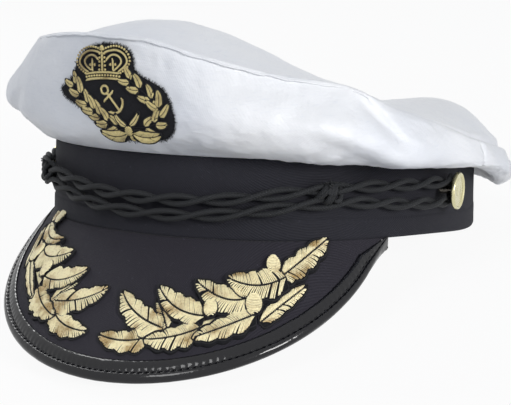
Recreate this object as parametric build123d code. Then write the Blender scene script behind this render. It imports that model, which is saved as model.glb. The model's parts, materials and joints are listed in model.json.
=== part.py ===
from build123d import *
import os
from math import asin, atan2, cos, degrees, hypot, radians, sin, sqrt, tan

os.makedirs("parts", exist_ok=True)

# ---------------------------------------------------------------------------
# Driving sizes, in millimetres.
# Cap frame: the band stands on z = 0 with its oval centred on the origin, the
# visor points to -Y, the wearer's left is +X and the crown rises along +Z.
# ---------------------------------------------------------------------------
# Head band, a straight-walled four-centre oval
BAND_HALF_LENGTH = 104.0
BAND_HALF_WIDTH = 88.0
BAND_SQUARING = 6.0         # half width less the radius of the front and back arcs
BAND_HEIGHT = 31.0
BAND_CLOTH = 0.8
STIFFENER_THICKNESS = 0.8
INSERT_SPACE = 2.0          # between stiffener and sweatband, for visor tab and washers
SWEATBAND_THICKNESS = 1.2
SWEATBAND_TOP_INSET = 3.0   # below the band's top edge
LAYER_GAP = 0.1             # between pieces sewn or glued face to face

# Crown wall, from the band's top edge upward: (outward, up, forward)
CROWN_PROFILE = [(0.0, 0.0, 0.0), (12.0, 7.0, 1.0), (19.0, 19.0, 3.0), (16.0, 31.0, 4.0), (7.5, 52.0, 5.5)]
CROWN_CLOTH = 0.9
CROWN_LINING = 0.5
CROWN_FOAM = 3.0
# The top panel sags along an arc through three heights above the band
TOP_FRONT_OUT = 18.0        # in front of the band
TOP_FRONT_UP = 43.0
TOP_MIDDLE_Y = -15.0
TOP_MIDDLE_UP = 18.0
TOP_BACK_OUT = 14.0         # behind the band
TOP_BACK_UP = 11.0
TOP_LEAN = 7.0              # degrees, down toward the wearer's left
CROWN_SEAM_Y = -14.0        # side seam between front and back crown panels
SEAM_GAP = 0.2
FOAM_HALF_WIDTH = 62.0
FOAM_REACH = 64.0           # from the band's front toward the back

# Visor: a cone that leaves the band's bottom edge, cut to a half-round outline
VISOR_LENGTH = 42.0
VISOR_HALF_WIDTH = 75.5
VISOR_SLOPE = 1.1           # drop per unit of reach
VISOR_CLOTH = 0.6
VISOR_BOARD = 1.2
VISOR_LINING = 0.5
VISOR_ROOT_GAP = 0.3        # between the band's foot and the visor's cloth
BINDING_WIDTH = 5.0
BINDING_THICKNESS = 0.8
TAB_INSET = 5.5             # ends of the visor board's upright tab, inside the visor's sides
TAB_HEIGHT = 12.0

# Gold embroidery on the visor, in polar form about the centre of the visor's edge arc.
# Angles run from the front centre toward the spray's own side, in degrees.
STITCH_HEIGHT = 0.7
SPRAY_RADIUS = 63.0
SPRAY_TURN = -6.0           # both sprays sit this far round toward the wearer's right
STEM_WIDTH = 1.4
STEM_ANGLES = (14.0, 84.0)
LEAF_WIDTH = 9.0
# Leaves: (base angle, base radius, tip angle, tip radius, width as a share of LEAF_WIDTH)
SPRAY_LEAVES = [
    (23.0, 62.0, 4.5, 50.5, 1.0),
    (20.0, 63.5, 2.5, 63.0, 0.75),
    (35.0, 62.0, 17.0, 50.0, 1.0),
    (33.0, 63.5, 14.0, 65.0, 0.85),
    (49.0, 62.0, 32.0, 50.5, 1.0),
    (48.0, 63.5, 30.0, 66.0, 0.85),
    (64.0, 60.5, 45.0, 52.5, 0.9),
    (66.0, 63.0, 50.0, 66.5, 0.8),
    (64.0, 61.0, 86.0, 60.0, 0.9),
]

# Badge on the front crown panel, drawn flat in its own upright plane
BADGE_X = -6.5
BADGE_CENTRE_UP = 24.5      # above the band's top edge
BADGE_LEAN = 10.0           # degrees, top toward the wearer's right
PATCH_THICKNESS = 1.2
PATCH_HEAD_RADIUS = 10.5
PATCH_HEAD_UP = 8.0
PATCH_BODY_HALF_WIDTH = 23.5
PATCH_BODY_HALF_HEIGHT = 14.0
PATCH_BODY_DOWN = 4.0
BADGE_STITCH = 0.8
EMBLEM_CROWN_UP = 10.0       # above the badge's centre
EMBLEM_CROWN_WIDTH = 17.0
EMBLEM_CROWN_HEIGHT = 13.0
ANCHOR_HEIGHT = 10.0
ANCHOR_WIDTH = 8.0
ANCHOR_DOWN = 2.8            # below the badge's centre
ANCHOR_STROKE = 1.1
SPRIG_HALF_WIDTH = 18.0
SPRIG_HALF_HEIGHT = 10.5
SPRIG_LEAF_LENGTH = 7.5
SPRIG_LEAF_WIDTH = 3.4
SPRIG_ANGLES = (-62.0, -44.0, -26.0, -8.0, 10.0, 28.0)
BOW_HALF_WIDTH = 7.0
BOW_LOOP_HEIGHT = 3.6

# Side buttons, each a disc on a shank that passes through the band
BUTTON_Y = -24.0
BUTTON_UP = 17.0
BUTTON_RADIUS = 7.5
BUTTON_THICKNESS = 1.8
BUTTON_RIM = 0.5
SHANK_RADIUS = 1.6
PIN_RADIUS = 1.0
PIN_CLEARANCE = 0.3
WASHER_RADIUS = 3.2
WASHER_THICKNESS = 0.6

# Chin cord: one twisted cord looped round both button shanks
CORD_RADIUS = 2.1
CORD_LOOP_RADIUS = 4.1
CORD_STANDOFF = 4.1         # centre of the loops, out from the band at the button
CORD_CLEARANCE = 0.4        # to the button's head
CORD_LEAD = 7.0             # straight run in front of each loop
# Route of each line from the wearer's left button's lead to the front, then mirrored:
# (direction of the band's face from the front, in degrees, distance out from it, height)
UPPER_ROUTE = [(71.7, 5.2, 20.9), (64.0, 4.0, 20.8), (45.0, 6.5, 21.0), (15.0, 6.5, 14.2)]
LOWER_ROUTE = [(71.7, 5.2, 13.0), (64.0, 4.0, 13.6), (45.0, 6.5, 16.0), (15.0, 6.5, 8.4)]
KNOT_ANGLE = 45.0           # round the front arc of the band, from the front centre
KNOT_UP = 18.5
KNOT_LENGTH = 8.0
KNOT_HEIGHT = 13.0
KNOT_DEPTH = 6.4
KNOT_OUT = 4.3              # centre of the knot, out from the band's face

# ---------------------------------------------------------------------------
# Sizes worked out from the ones above
# ---------------------------------------------------------------------------
BAND_END_RADIUS = BAND_HALF_WIDTH - BAND_SQUARING
SIDE_RADIUS = (BAND_HALF_WIDTH**2 + BAND_HALF_LENGTH**2 - 2 * BAND_HALF_LENGTH * BAND_END_RADIUS) / (
    2 * BAND_SQUARING)
END_CENTRE = BAND_HALF_LENGTH - BAND_END_RADIUS
SIDE_CENTRE = SIDE_RADIUS - BAND_HALF_WIDTH
ARC_SPAN = SIDE_RADIUS - BAND_END_RADIUS

STIFFENER_OUT = -(BAND_CLOTH + LAYER_GAP)
STIFFENER_IN = STIFFENER_OUT - STIFFENER_THICKNESS
SWEATBAND_OUT = STIFFENER_IN - INSERT_SPACE
SWEATBAND_IN = SWEATBAND_OUT - SWEATBAND_THICKNESS
TAB_OUT = STIFFENER_IN - LAYER_GAP
TAB_IN = TAB_OUT - VISOR_BOARD
SWEATBAND_LIP = TAB_IN - LAYER_GAP
HEM_TOP = BAND_CLOTH + LAYER_GAP

# Vertical height taken by a unit thickness of a layer on the sloping visor
SLOPE_STRETCH = hypot(1, VISOR_SLOPE)
COVER_LOW = -VISOR_CLOTH * SLOPE_STRETCH
BOARD_HIGH = COVER_LOW - LAYER_GAP * SLOPE_STRETCH
BOARD_LOW = BOARD_HIGH - VISOR_BOARD * SLOPE_STRETCH
LINING_HIGH = BOARD_LOW - LAYER_GAP * SLOPE_STRETCH
LINING_LOW = LINING_HIGH - VISOR_LINING * SLOPE_STRETCH
BINDING_HIGH = (LAYER_GAP + BINDING_THICKNESS) * SLOPE_STRETCH
BINDING_LOW = LINING_LOW - BINDING_HIGH
BINDING_OUT = LAYER_GAP + BINDING_THICKNESS
VISOR_CENTRE_Y = VISOR_HALF_WIDTH - BAND_HALF_LENGTH - VISOR_LENGTH
TAB_HALF_WIDTH = VISOR_HALF_WIDTH - TAB_INSET

BADGE_Z = BAND_HEIGHT + BADGE_CENTRE_UP
CORD_X = sqrt(SIDE_RADIUS**2 - BUTTON_Y**2) - SIDE_CENTRE + CORD_STANDOFF
FAR = 2 * BAND_HALF_LENGTH   # longer than any cut through the cap


# ---------------------------------------------------------------------------
# Shapes shared by the pieces
# ---------------------------------------------------------------------------
def oval(grow=0.0):
    """The band's plan oval, with its outline moved outward by grow."""
    end = BAND_END_RADIUS + grow
    x = end * SIDE_CENTRE / ARC_SPAN
    y = END_CENTRE + end * END_CENTRE / ARC_SPAN
    length = BAND_HALF_LENGTH + grow
    width = BAND_HALF_WIDTH + grow
    return Face(Wire([
        ThreePointArc((-x, -y), (0, -length), (x, -y)),
        ThreePointArc((x, -y), (width, 0), (x, y)),
        ThreePointArc((x, y), (0, length), (-x, y)),
        ThreePointArc((-x, y), (-width, 0), (-x, -y)),
    ]))


def prism(face, low, high):
    """The face, drawn on z = 0, as a solid from low to high."""
    return Solid.extrude(Pos(0, 0, low) * face, Vector(0, 0, high - low))


def ring_wall(outer, inner, low, high):
    """Upright wall between two offsets of the band's oval."""
    return prism(oval(outer), low, high) - prism(oval(inner), low, high)


def half_space_box(x_half, y_low, y_high):
    """A tall box that keeps what lies between two values of y and within x_half."""
    return Pos(0, (y_low + y_high) / 2, 0) * Box(2 * x_half, y_high - y_low, FAR)


def band_x(y):
    """Outer face of the band's side at y."""
    return sqrt(SIDE_RADIUS**2 - y**2) - SIDE_CENTRE


def beside_band(direction, out):
    """Point (x, y) out from the band's face, where that face looks in a direction from the front."""
    x, y = sin(radians(direction)), -cos(radians(direction))
    if direction < degrees(atan2(SIDE_CENTRE, END_CENTRE)):
        return x * (BAND_END_RADIUS + out), y * (BAND_END_RADIUS + out) - END_CENTRE
    return x * (SIDE_RADIUS + out) - SIDE_CENTRE, y * (SIDE_RADIUS + out)


def crown_inward(index):
    """Direction (outward, up) that leads into the crown at one level of its profile."""
    if index in (0, len(CROWN_PROFILE) - 1):
        return -1.0, 0.0
    low, high = CROWN_PROFILE[index - 1], CROWN_PROFILE[index + 1]
    run, rise = high[0] - low[0], high[1] - low[1]
    return -rise / hypot(run, rise), run / hypot(run, rise)


def crown_solid(depth):
    """The whole crown's volume, with its wall moved inward by depth."""
    sections = []
    for index, (outward, up, forward) in enumerate(CROWN_PROFILE):
        inward_out, inward_up = crown_inward(index)
        height = BAND_HEIGHT + LAYER_GAP + up + depth * inward_up
        sections.append(Pos(0, -forward, height) * oval(outward + depth * inward_out))
    return loft(sections, ruled=True)


def crown_layer(outer_depth, inner_depth):
    """The crown's wall between two depths, still without its top cut."""
    return crown_solid(outer_depth) - crown_solid(inner_depth)


def circle_through(a, b, c):
    """Centre and radius of the circle through three points of a plane."""
    d = 2 * (a[0] * (b[1] - c[1]) + b[0] * (c[1] - a[1]) + c[0] * (a[1] - b[1]))
    squares = [p[0]**2 + p[1]**2 for p in (a, b, c)]
    x = (squares[0] * (b[1] - c[1]) + squares[1] * (c[1] - a[1]) + squares[2] * (a[1] - b[1])) / d
    y = (squares[0] * (c[0] - b[0]) + squares[1] * (a[0] - c[0]) + squares[2] * (b[0] - a[0])) / d
    return x, y, hypot(a[0] - x, a[1] - y)


def above_top(drop):
    """Everything above the crown's sagging top seam, which is lowered by drop."""
    front = (-BAND_HALF_LENGTH - TOP_FRONT_OUT, TOP_FRONT_UP)
    back = (BAND_HALF_LENGTH + TOP_BACK_OUT, TOP_BACK_UP)
    y, up, radius = circle_through(front, (TOP_MIDDLE_Y, TOP_MIDDLE_UP), back)
    lean = Pos(0, 0, BAND_HEIGHT + TOP_MIDDLE_UP) * Rot(Y=TOP_LEAN)
    return lean * Pos(0, y, up - TOP_MIDDLE_UP) * Rot(Y=90) * Cylinder(radius + drop, 2 * FAR)


def under_visor(lift):
    """Everything below the visor's sloping face, which is raised by lift."""
    start = 2 * SWEATBAND_IN
    reach = VISOR_LENGTH + 4 * BINDING_THICKNESS + 2 * (BINDING_HIGH - BINDING_LOW)
    return loft([Pos(0, 0, lift - VISOR_SLOPE * start) * oval(start),
                 Pos(0, 0, lift - VISOR_SLOPE * reach) * oval(reach)], ruled=True)


def visor_outline(grow=0.0):
    """Plan outline of the visor: a half circle whose sides run back to the band."""
    r = VISOR_HALF_WIDTH + grow
    return Face(Wire([
        ThreePointArc((-r, VISOR_CENTRE_Y), (0, VISOR_CENTRE_Y - r), (r, VISOR_CENTRE_Y)),
        Line((r, VISOR_CENTRE_Y), (r, 0)),
        Line((r, 0), (-r, 0)),
        Line((-r, 0), (-r, VISOR_CENTRE_Y)),
    ]))


def visor_prism(face):
    """A plan shape as a column that passes right through the visor."""
    low = BINDING_LOW - VISOR_SLOPE * (VISOR_LENGTH + 2 * BINDING_OUT)
    return prism(face, low, BAND_HEIGHT)


def visor_layer(high, low, grow, start):
    """A layer of the visor between two lifts, from start outside the band to the outline."""
    layer = under_visor(high) - under_visor(low)
    return layer & (visor_prism(visor_outline(grow)) - visor_prism(oval(start)))


def leaf(base, tip, width):
    """A pointed leaf of two arcs, as a flat face."""
    base, tip = Vector(*base), Vector(*tip)
    middle = (base + tip) / 2
    side = (tip - base).rotate(Axis.Z, 90).normalized() * (width / 2)
    a, b, c, d = [(v.X, v.Y) for v in (base, tip, middle + side, middle - side)]
    return Face(Wire([ThreePointArc(a, c, b), ThreePointArc(b, d, a)]))


def polar(angle, radius):
    """Point at an angle from +X, in degrees."""
    return radius * cos(radians(angle)), radius * sin(radians(angle))


def cord_points(route, loop_side):
    """A line's points from the left button round to the right one."""
    up = BUTTON_UP + loop_side * CORD_LOOP_RADIUS
    points = [(CORD_X, BUTTON_Y, up), (CORD_X, BUTTON_Y - CORD_LEAD, up)]
    points += [(*beside_band(direction, out), height) for direction, out, height in route]
    return points + [(-x, y, z) for x, y, z in reversed(points)]


# ---------------------------------------------------------------------------
# Band and lining
# ---------------------------------------------------------------------------
def button_axis_cut(side, radius):
    """Round hole along a button's axis, through one side of the band."""
    middle = (band_x(BUTTON_Y) + SWEATBAND_OUT)
    return Pos(side * middle, BUTTON_Y, BUTTON_UP) * Rot(Y=90) * Cylinder(radius, 4 * INSERT_SPACE)


def make_band():
    """The cloth band with its hem, the stiffener inside it and the sweatband."""
    cover = ring_wall(0, -BAND_CLOTH, 0, BAND_HEIGHT) + ring_wall(0, STIFFENER_IN, 0, BAND_CLOTH)
    stiffener = ring_wall(STIFFENER_OUT, STIFFENER_IN, HEM_TOP, BAND_HEIGHT - LAYER_GAP)
    for side in (1, -1):
        hole = button_axis_cut(side, PIN_RADIUS + PIN_CLEARANCE)
        cover -= hole
        stiffener -= hole
    sweatband = ring_wall(SWEATBAND_OUT, SWEATBAND_IN, HEM_TOP, BAND_HEIGHT - SWEATBAND_TOP_INSET)
    sweatband += ring_wall(SWEATBAND_LIP, SWEATBAND_IN, HEM_TOP, HEM_TOP + 2 * SWEATBAND_THICKNESS)
    return {"band_cover": cover, "band_stiffener": stiffener, "sweatband": sweatband}


# ---------------------------------------------------------------------------
# Crown
# ---------------------------------------------------------------------------
def make_crown():
    """Top, front and back panels, the foam behind the front one and the lining."""
    side = crown_layer(0, CROWN_CLOTH) - above_top(0)
    front = side & half_space_box(FAR, -FAR, CROWN_SEAM_Y - SEAM_GAP / 2)
    back = side & half_space_box(FAR, CROWN_SEAM_Y + SEAM_GAP / 2, FAR)
    top_low, top_high = -LAYER_GAP, -LAYER_GAP - CROWN_CLOTH
    top = crown_solid(0) & (above_top(top_low) - above_top(top_high))
    top_lining = crown_solid(CROWN_CLOTH + LAYER_GAP) & (
        above_top(LAYER_GAP + CROWN_LINING) - above_top(LAYER_GAP))
    under_lining = 2 * LAYER_GAP + CROWN_LINING
    foam_in = CROWN_CLOTH + LAYER_GAP + CROWN_FOAM
    foam = crown_layer(CROWN_CLOTH + LAYER_GAP, foam_in) - above_top(under_lining)
    foam = foam & half_space_box(FOAM_HALF_WIDTH, -FAR, FOAM_REACH - BAND_HALF_LENGTH)
    side_lining = crown_layer(foam_in + LAYER_GAP, foam_in + LAYER_GAP + CROWN_LINING) - above_top(under_lining)
    return {"crown_front_panel": front, "crown_back_panel": back, "crown_top_panel": top,
            "crown_top_lining": top_lining, "crown_side_lining": side_lining, "crown_front_foam": foam}


# ---------------------------------------------------------------------------
# Visor
# ---------------------------------------------------------------------------
def make_visor():
    """Visor board with its tab, cloth above, lining below and the binding round the edge."""
    cover = visor_layer(0, COVER_LOW, 0, VISOR_ROOT_GAP)
    board = visor_layer(BOARD_HIGH, BOARD_LOW, 0, 0)
    root = ring_wall(LAYER_GAP, TAB_IN, BOARD_LOW, BOARD_HIGH) + ring_wall(TAB_OUT, TAB_IN, BOARD_LOW, TAB_HEIGHT)
    board += root & half_space_box(TAB_HALF_WIDTH, -FAR, -END_CENTRE)
    lining = visor_layer(LINING_HIGH, LINING_LOW, 0, VISOR_ROOT_GAP)
    channel = visor_layer(LAYER_GAP * SLOPE_STRETCH, LINING_LOW - LAYER_GAP * SLOPE_STRETCH, LAYER_GAP, 0)
    binding = visor_layer(BINDING_HIGH, BINDING_LOW, BINDING_OUT, VISOR_ROOT_GAP) - channel
    binding -= visor_prism(visor_outline(-BINDING_WIDTH))
    return {"visor_top_cover": cover, "visor_board": board, "visor_under_cover": lining,
            "visor_edge_binding": binding}


def make_spray(side):
    """Stem and leaves of one embroidered spray on the visor."""
    def place(angle, radius):
        x, y = polar(side * angle + SPRAY_TURN - 90, radius)
        return x, y + VISOR_CENTRE_Y

    faces = [leaf(place(a, r), place(b, s), share * LEAF_WIDTH) for a, r, b, s, share in SPRAY_LEAVES]
    start, end = STEM_ANGLES
    stem = ThreePointArc(place(start, SPRAY_RADIUS), place((start + end) / 2, SPRAY_RADIUS),
                         place(end, SPRAY_RADIUS))
    column = visor_prism(SlotArc(stem, STEM_WIDTH).face())
    for face in faces:
        column += visor_prism(face)
    low = LAYER_GAP * SLOPE_STRETCH
    stitches = under_visor(low + STITCH_HEIGHT * SLOPE_STRETCH) - under_visor(low)
    return column & (stitches & (visor_prism(visor_outline(-BINDING_WIDTH - LAYER_GAP))
                                 - visor_prism(oval(VISOR_ROOT_GAP))))


# ---------------------------------------------------------------------------
# Badge
# ---------------------------------------------------------------------------
BADGE_PLANE = Plane(origin=(BADGE_X, 0, BADGE_Z),
                    x_dir=(cos(radians(BADGE_LEAN)), 0, sin(radians(BADGE_LEAN))), z_dir=(0, -1, 0))


def on_badge(sketch, outer, inner):
    """A flat drawing laid on the crown's front as a layer between two heights above it."""
    column = extrude(BADGE_PLANE * sketch, amount=FAR, both=True) & half_space_box(FAR, -FAR, 0)
    return column & crown_layer(-outer, -inner)


def emblem_crown():
    """A plain domed crown: a band and two rounded lobes."""
    base = Pos(0, -EMBLEM_CROWN_HEIGHT / 2 + 2) * RectangleRounded(EMBLEM_CROWN_WIDTH * 0.8, 4, 1)
    lobes = Sketch()
    for side in (1, -1):
        lobes += Pos(side * EMBLEM_CROWN_WIDTH / 4, 0.5) * Ellipse(EMBLEM_CROWN_WIDTH / 4, EMBLEM_CROWN_HEIGHT * 0.36)
    return Pos(0, EMBLEM_CROWN_UP) * (base + lobes + Rectangle(EMBLEM_CROWN_WIDTH / 2, EMBLEM_CROWN_HEIGHT / 2))


def anchor():
    """A plain anchor: ring, stock, shank and a curved arm."""
    half = ANCHOR_HEIGHT / 2
    ring = Pos(0, half - 1.5 * ANCHOR_STROKE) * (Circle(1.5 * ANCHOR_STROKE) - Circle(0.6 * ANCHOR_STROKE))
    stock = Pos(0, half - 4 * ANCHOR_STROKE) * Rectangle(ANCHOR_WIDTH * 0.7, ANCHOR_STROKE)
    shank = Pos(0, -ANCHOR_STROKE) * Rectangle(ANCHOR_STROKE, ANCHOR_HEIGHT - 3 * ANCHOR_STROKE)
    arm = Circle(ANCHOR_WIDTH / 2) - Circle(ANCHOR_WIDTH / 2 - ANCHOR_STROKE)
    arm &= Pos(0, -ANCHOR_WIDTH / 2) * Rectangle(2 * ANCHOR_WIDTH, ANCHOR_WIDTH)
    arm = Pos(0, -half + ANCHOR_WIDTH / 2) * arm
    return Pos(0, -ANCHOR_DOWN) * (ring + stock + shank + arm)


def sprig(side):
    """One half wreath: leaves that climb an elliptic stem."""
    drawing = Sketch()
    for angle in SPRIG_ANGLES:
        x = SPRIG_HALF_WIDTH * cos(radians(angle)) * 0.85
        y = SPRIG_HALF_HEIGHT * sin(radians(angle))
        heading = angle + 75
        tip = (x + SPRIG_LEAF_LENGTH * cos(radians(heading)), y + SPRIG_LEAF_LENGTH * sin(radians(heading)))
        shape = leaf((x, y), tip, SPRIG_LEAF_WIDTH)
        drawing += shape if side > 0 else mirror(shape, about=Plane.YZ)
    return Pos(0, -PATCH_BODY_DOWN) * drawing


def bow():
    """The bow that ties both sprigs."""
    loops = Circle(BOW_LOOP_HEIGHT / 3)
    for side in (1, -1):
        loops += leaf((0, 0), (side * BOW_HALF_WIDTH, 0), BOW_LOOP_HEIGHT)
    return Pos(0, -PATCH_BODY_DOWN - SPRIG_HALF_HEIGHT - 0.5) * loops


def make_badge():
    """Black patch and the gold pieces embroidered on it."""
    patch = Pos(0, PATCH_HEAD_UP) * Circle(PATCH_HEAD_RADIUS)
    patch += Pos(0, -PATCH_BODY_DOWN) * Ellipse(PATCH_BODY_HALF_WIDTH, PATCH_BODY_HALF_HEIGHT)
    face = LAYER_GAP + PATCH_THICKNESS
    low, high = face + LAYER_GAP, face + LAYER_GAP + BADGE_STITCH
    drawings = {"badge_crown": emblem_crown(), "badge_anchor": anchor(), "badge_wreath_left": sprig(1),
                "badge_wreath_right": sprig(-1), "badge_bow": bow()}
    pieces = {"badge_patch": on_badge(patch, face, LAYER_GAP)}
    for name, drawing in drawings.items():
        pieces[name] = on_badge(drawing, high, low)
    return pieces


# ---------------------------------------------------------------------------
# Buttons
# ---------------------------------------------------------------------------
def make_button(side, name):
    """Disc head, shank with its pin, and the washer that holds the pin inside the band."""
    back = CORD_X + CORD_RADIUS + CORD_CLEARANCE
    front = back + BUTTON_THICKNESS
    wall = band_x(BUTTON_Y)
    tilt = asin(abs(BUTTON_Y) / SIDE_RADIUS)
    shoulder = wall + SHANK_RADIUS * sin(tilt) + PIN_CLEARANCE
    washer_out = wall + STIFFENER_IN - WASHER_RADIUS * sin(tilt) - LAYER_GAP
    washer_in = washer_out - WASHER_THICKNESS

    def disc(radius, low, high):
        return Pos((low + high) / 2, 0, 0) * Rot(Y=90) * Cylinder(radius, high - low)

    head = disc(BUTTON_RADIUS, back, front)
    head -= disc(BUTTON_RADIUS - 2 * BUTTON_RIM, front - BUTTON_RIM, front)
    shank = disc(SHANK_RADIUS, shoulder, back) + disc(PIN_RADIUS, washer_in, shoulder)
    washer = disc(WASHER_RADIUS, washer_in, washer_out) - disc(PIN_RADIUS, washer_in, washer_out)
    place = Pos(0, BUTTON_Y, BUTTON_UP)
    pieces = {f"{name}_head": head, f"{name}_shank": shank, f"{name}_washer": washer}
    if side < 0:
        pieces = {key: mirror(piece, about=Plane.YZ) for key, piece in pieces.items()}
    return {key: place * piece for key, piece in pieces.items()}


# ---------------------------------------------------------------------------
# Chin cord
# ---------------------------------------------------------------------------
def cord_line(points):
    """Straight runs joined by tangent arcs, each as large as its two runs allow."""
    radii = []
    for before, here, after in zip(points, points[1:], points[2:]):
        into, out = Vector(*here) - Vector(*before), Vector(*after) - Vector(*here)
        half_turn = radians(into.get_angle(out)) / 2
        radii.append(0.45 * min(into.length, out.length) / tan(half_turn))
    print("cord points", [tuple(round(value, 2) for value in point) for point in points])
    print("cord radii", [round(radius, 1) for radius in radii])
    return FilletPolyline(points, radius=radii)


def cord_tube(edges):
    """Round cord along a chain of tangent edges."""
    path = Wire(edges)
    return sweep(Plane(origin=path @ 0, z_dir=path % 0) * Circle(CORD_RADIUS), path=path)


def make_chin_cord():
    """The cord's two lines, the upper one with both loops, and the two sliding knots."""
    upper, lower = cord_line(cord_points(UPPER_ROUTE, 1)), cord_line(cord_points(LOWER_ROUTE, -1))
    loops = [ThreePointArc((side * CORD_X, BUTTON_Y, BUTTON_UP - CORD_LOOP_RADIUS),
                           (side * CORD_X, BUTTON_Y + CORD_LOOP_RADIUS, BUTTON_UP),
                           (side * CORD_X, BUTTON_Y, BUTTON_UP + CORD_LOOP_RADIUS)) for side in (1, -1)]
    pieces = {"chin_cord_upper": cord_tube([loops[0], *upper.edges(), loops[1]]),
              "chin_cord_lower": cord_tube(lower.edges())}
    for side, name in ((1, "chin_cord_knot_left"), (-1, "chin_cord_knot_right")):
        x, y = polar(KNOT_ANGLE - 90, BAND_END_RADIUS + KNOT_OUT)
        plane = Plane(origin=(x, y - END_CENTRE, KNOT_UP), x_dir=(x, y, 0),
                      z_dir=(-y, x, 0))
        knot = extrude(plane * (Rot(Z=90) * SlotOverall(KNOT_HEIGHT, KNOT_DEPTH)), amount=KNOT_LENGTH / 2, both=True)
        if side < 0:
            knot = mirror(knot, about=Plane.YZ)
        pieces[name] = knot - pieces["chin_cord_upper"] - pieces["chin_cord_lower"]
    return pieces


# ---------------------------------------------------------------------------
# The cap as it lies: on the back of its band and the front edge of its visor
# ---------------------------------------------------------------------------
parts = {}
parts.update(make_band())
parts.update(make_crown())
parts.update(make_visor())
parts["visor_spray_left"] = make_spray(1)
parts["visor_spray_right"] = make_spray(-1)
parts.update(make_badge())
parts.update(make_button(1, "button_left"))
parts.update(make_button(-1, "button_right"))
parts.update(make_chin_cord())

front_edge_y = -(BAND_HALF_LENGTH + VISOR_LENGTH + BINDING_OUT)
front_edge_z = BINDING_LOW - VISOR_SLOPE * (VISOR_LENGTH + BINDING_OUT)
TILT = degrees(atan2(-front_edge_z, BAND_HALF_LENGTH - front_edge_y))
tilted = Rot(X=-TILT)
bounds = Compound([tilted * solid for piece in parts.values() for solid in piece.solids()]).bounding_box()
rest = Pos(-bounds.center().X, -bounds.center().Y, -bounds.min.Z) * tilted

for name, piece in parts.items():
    solids = [rest * solid for solid in piece.solids()]
    export_step(Compound(solids) if len(solids) > 1 else solids[0], f"parts/{name}.step")

print("tilt", TILT, "size", bounds.size)
for label, spot in (("button axis", (0, BUTTON_Y, BUTTON_UP)), ("band centre", (0, 0, 0))):
    print(label, (rest * Pos(*spot)).position)
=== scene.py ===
"""Looks for a soft peaked cap: cloth crown, black band, visor with gold leaf embroidery, badge
and chin cord.

Lengths in the code are in the cap's own frame, in millimetres: the band stands on z = 0 round the
origin, the visor points to -Y and the wearer's left is +X. laid() takes them to the frame that the
cap lies in.
"""

import json
import math

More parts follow.
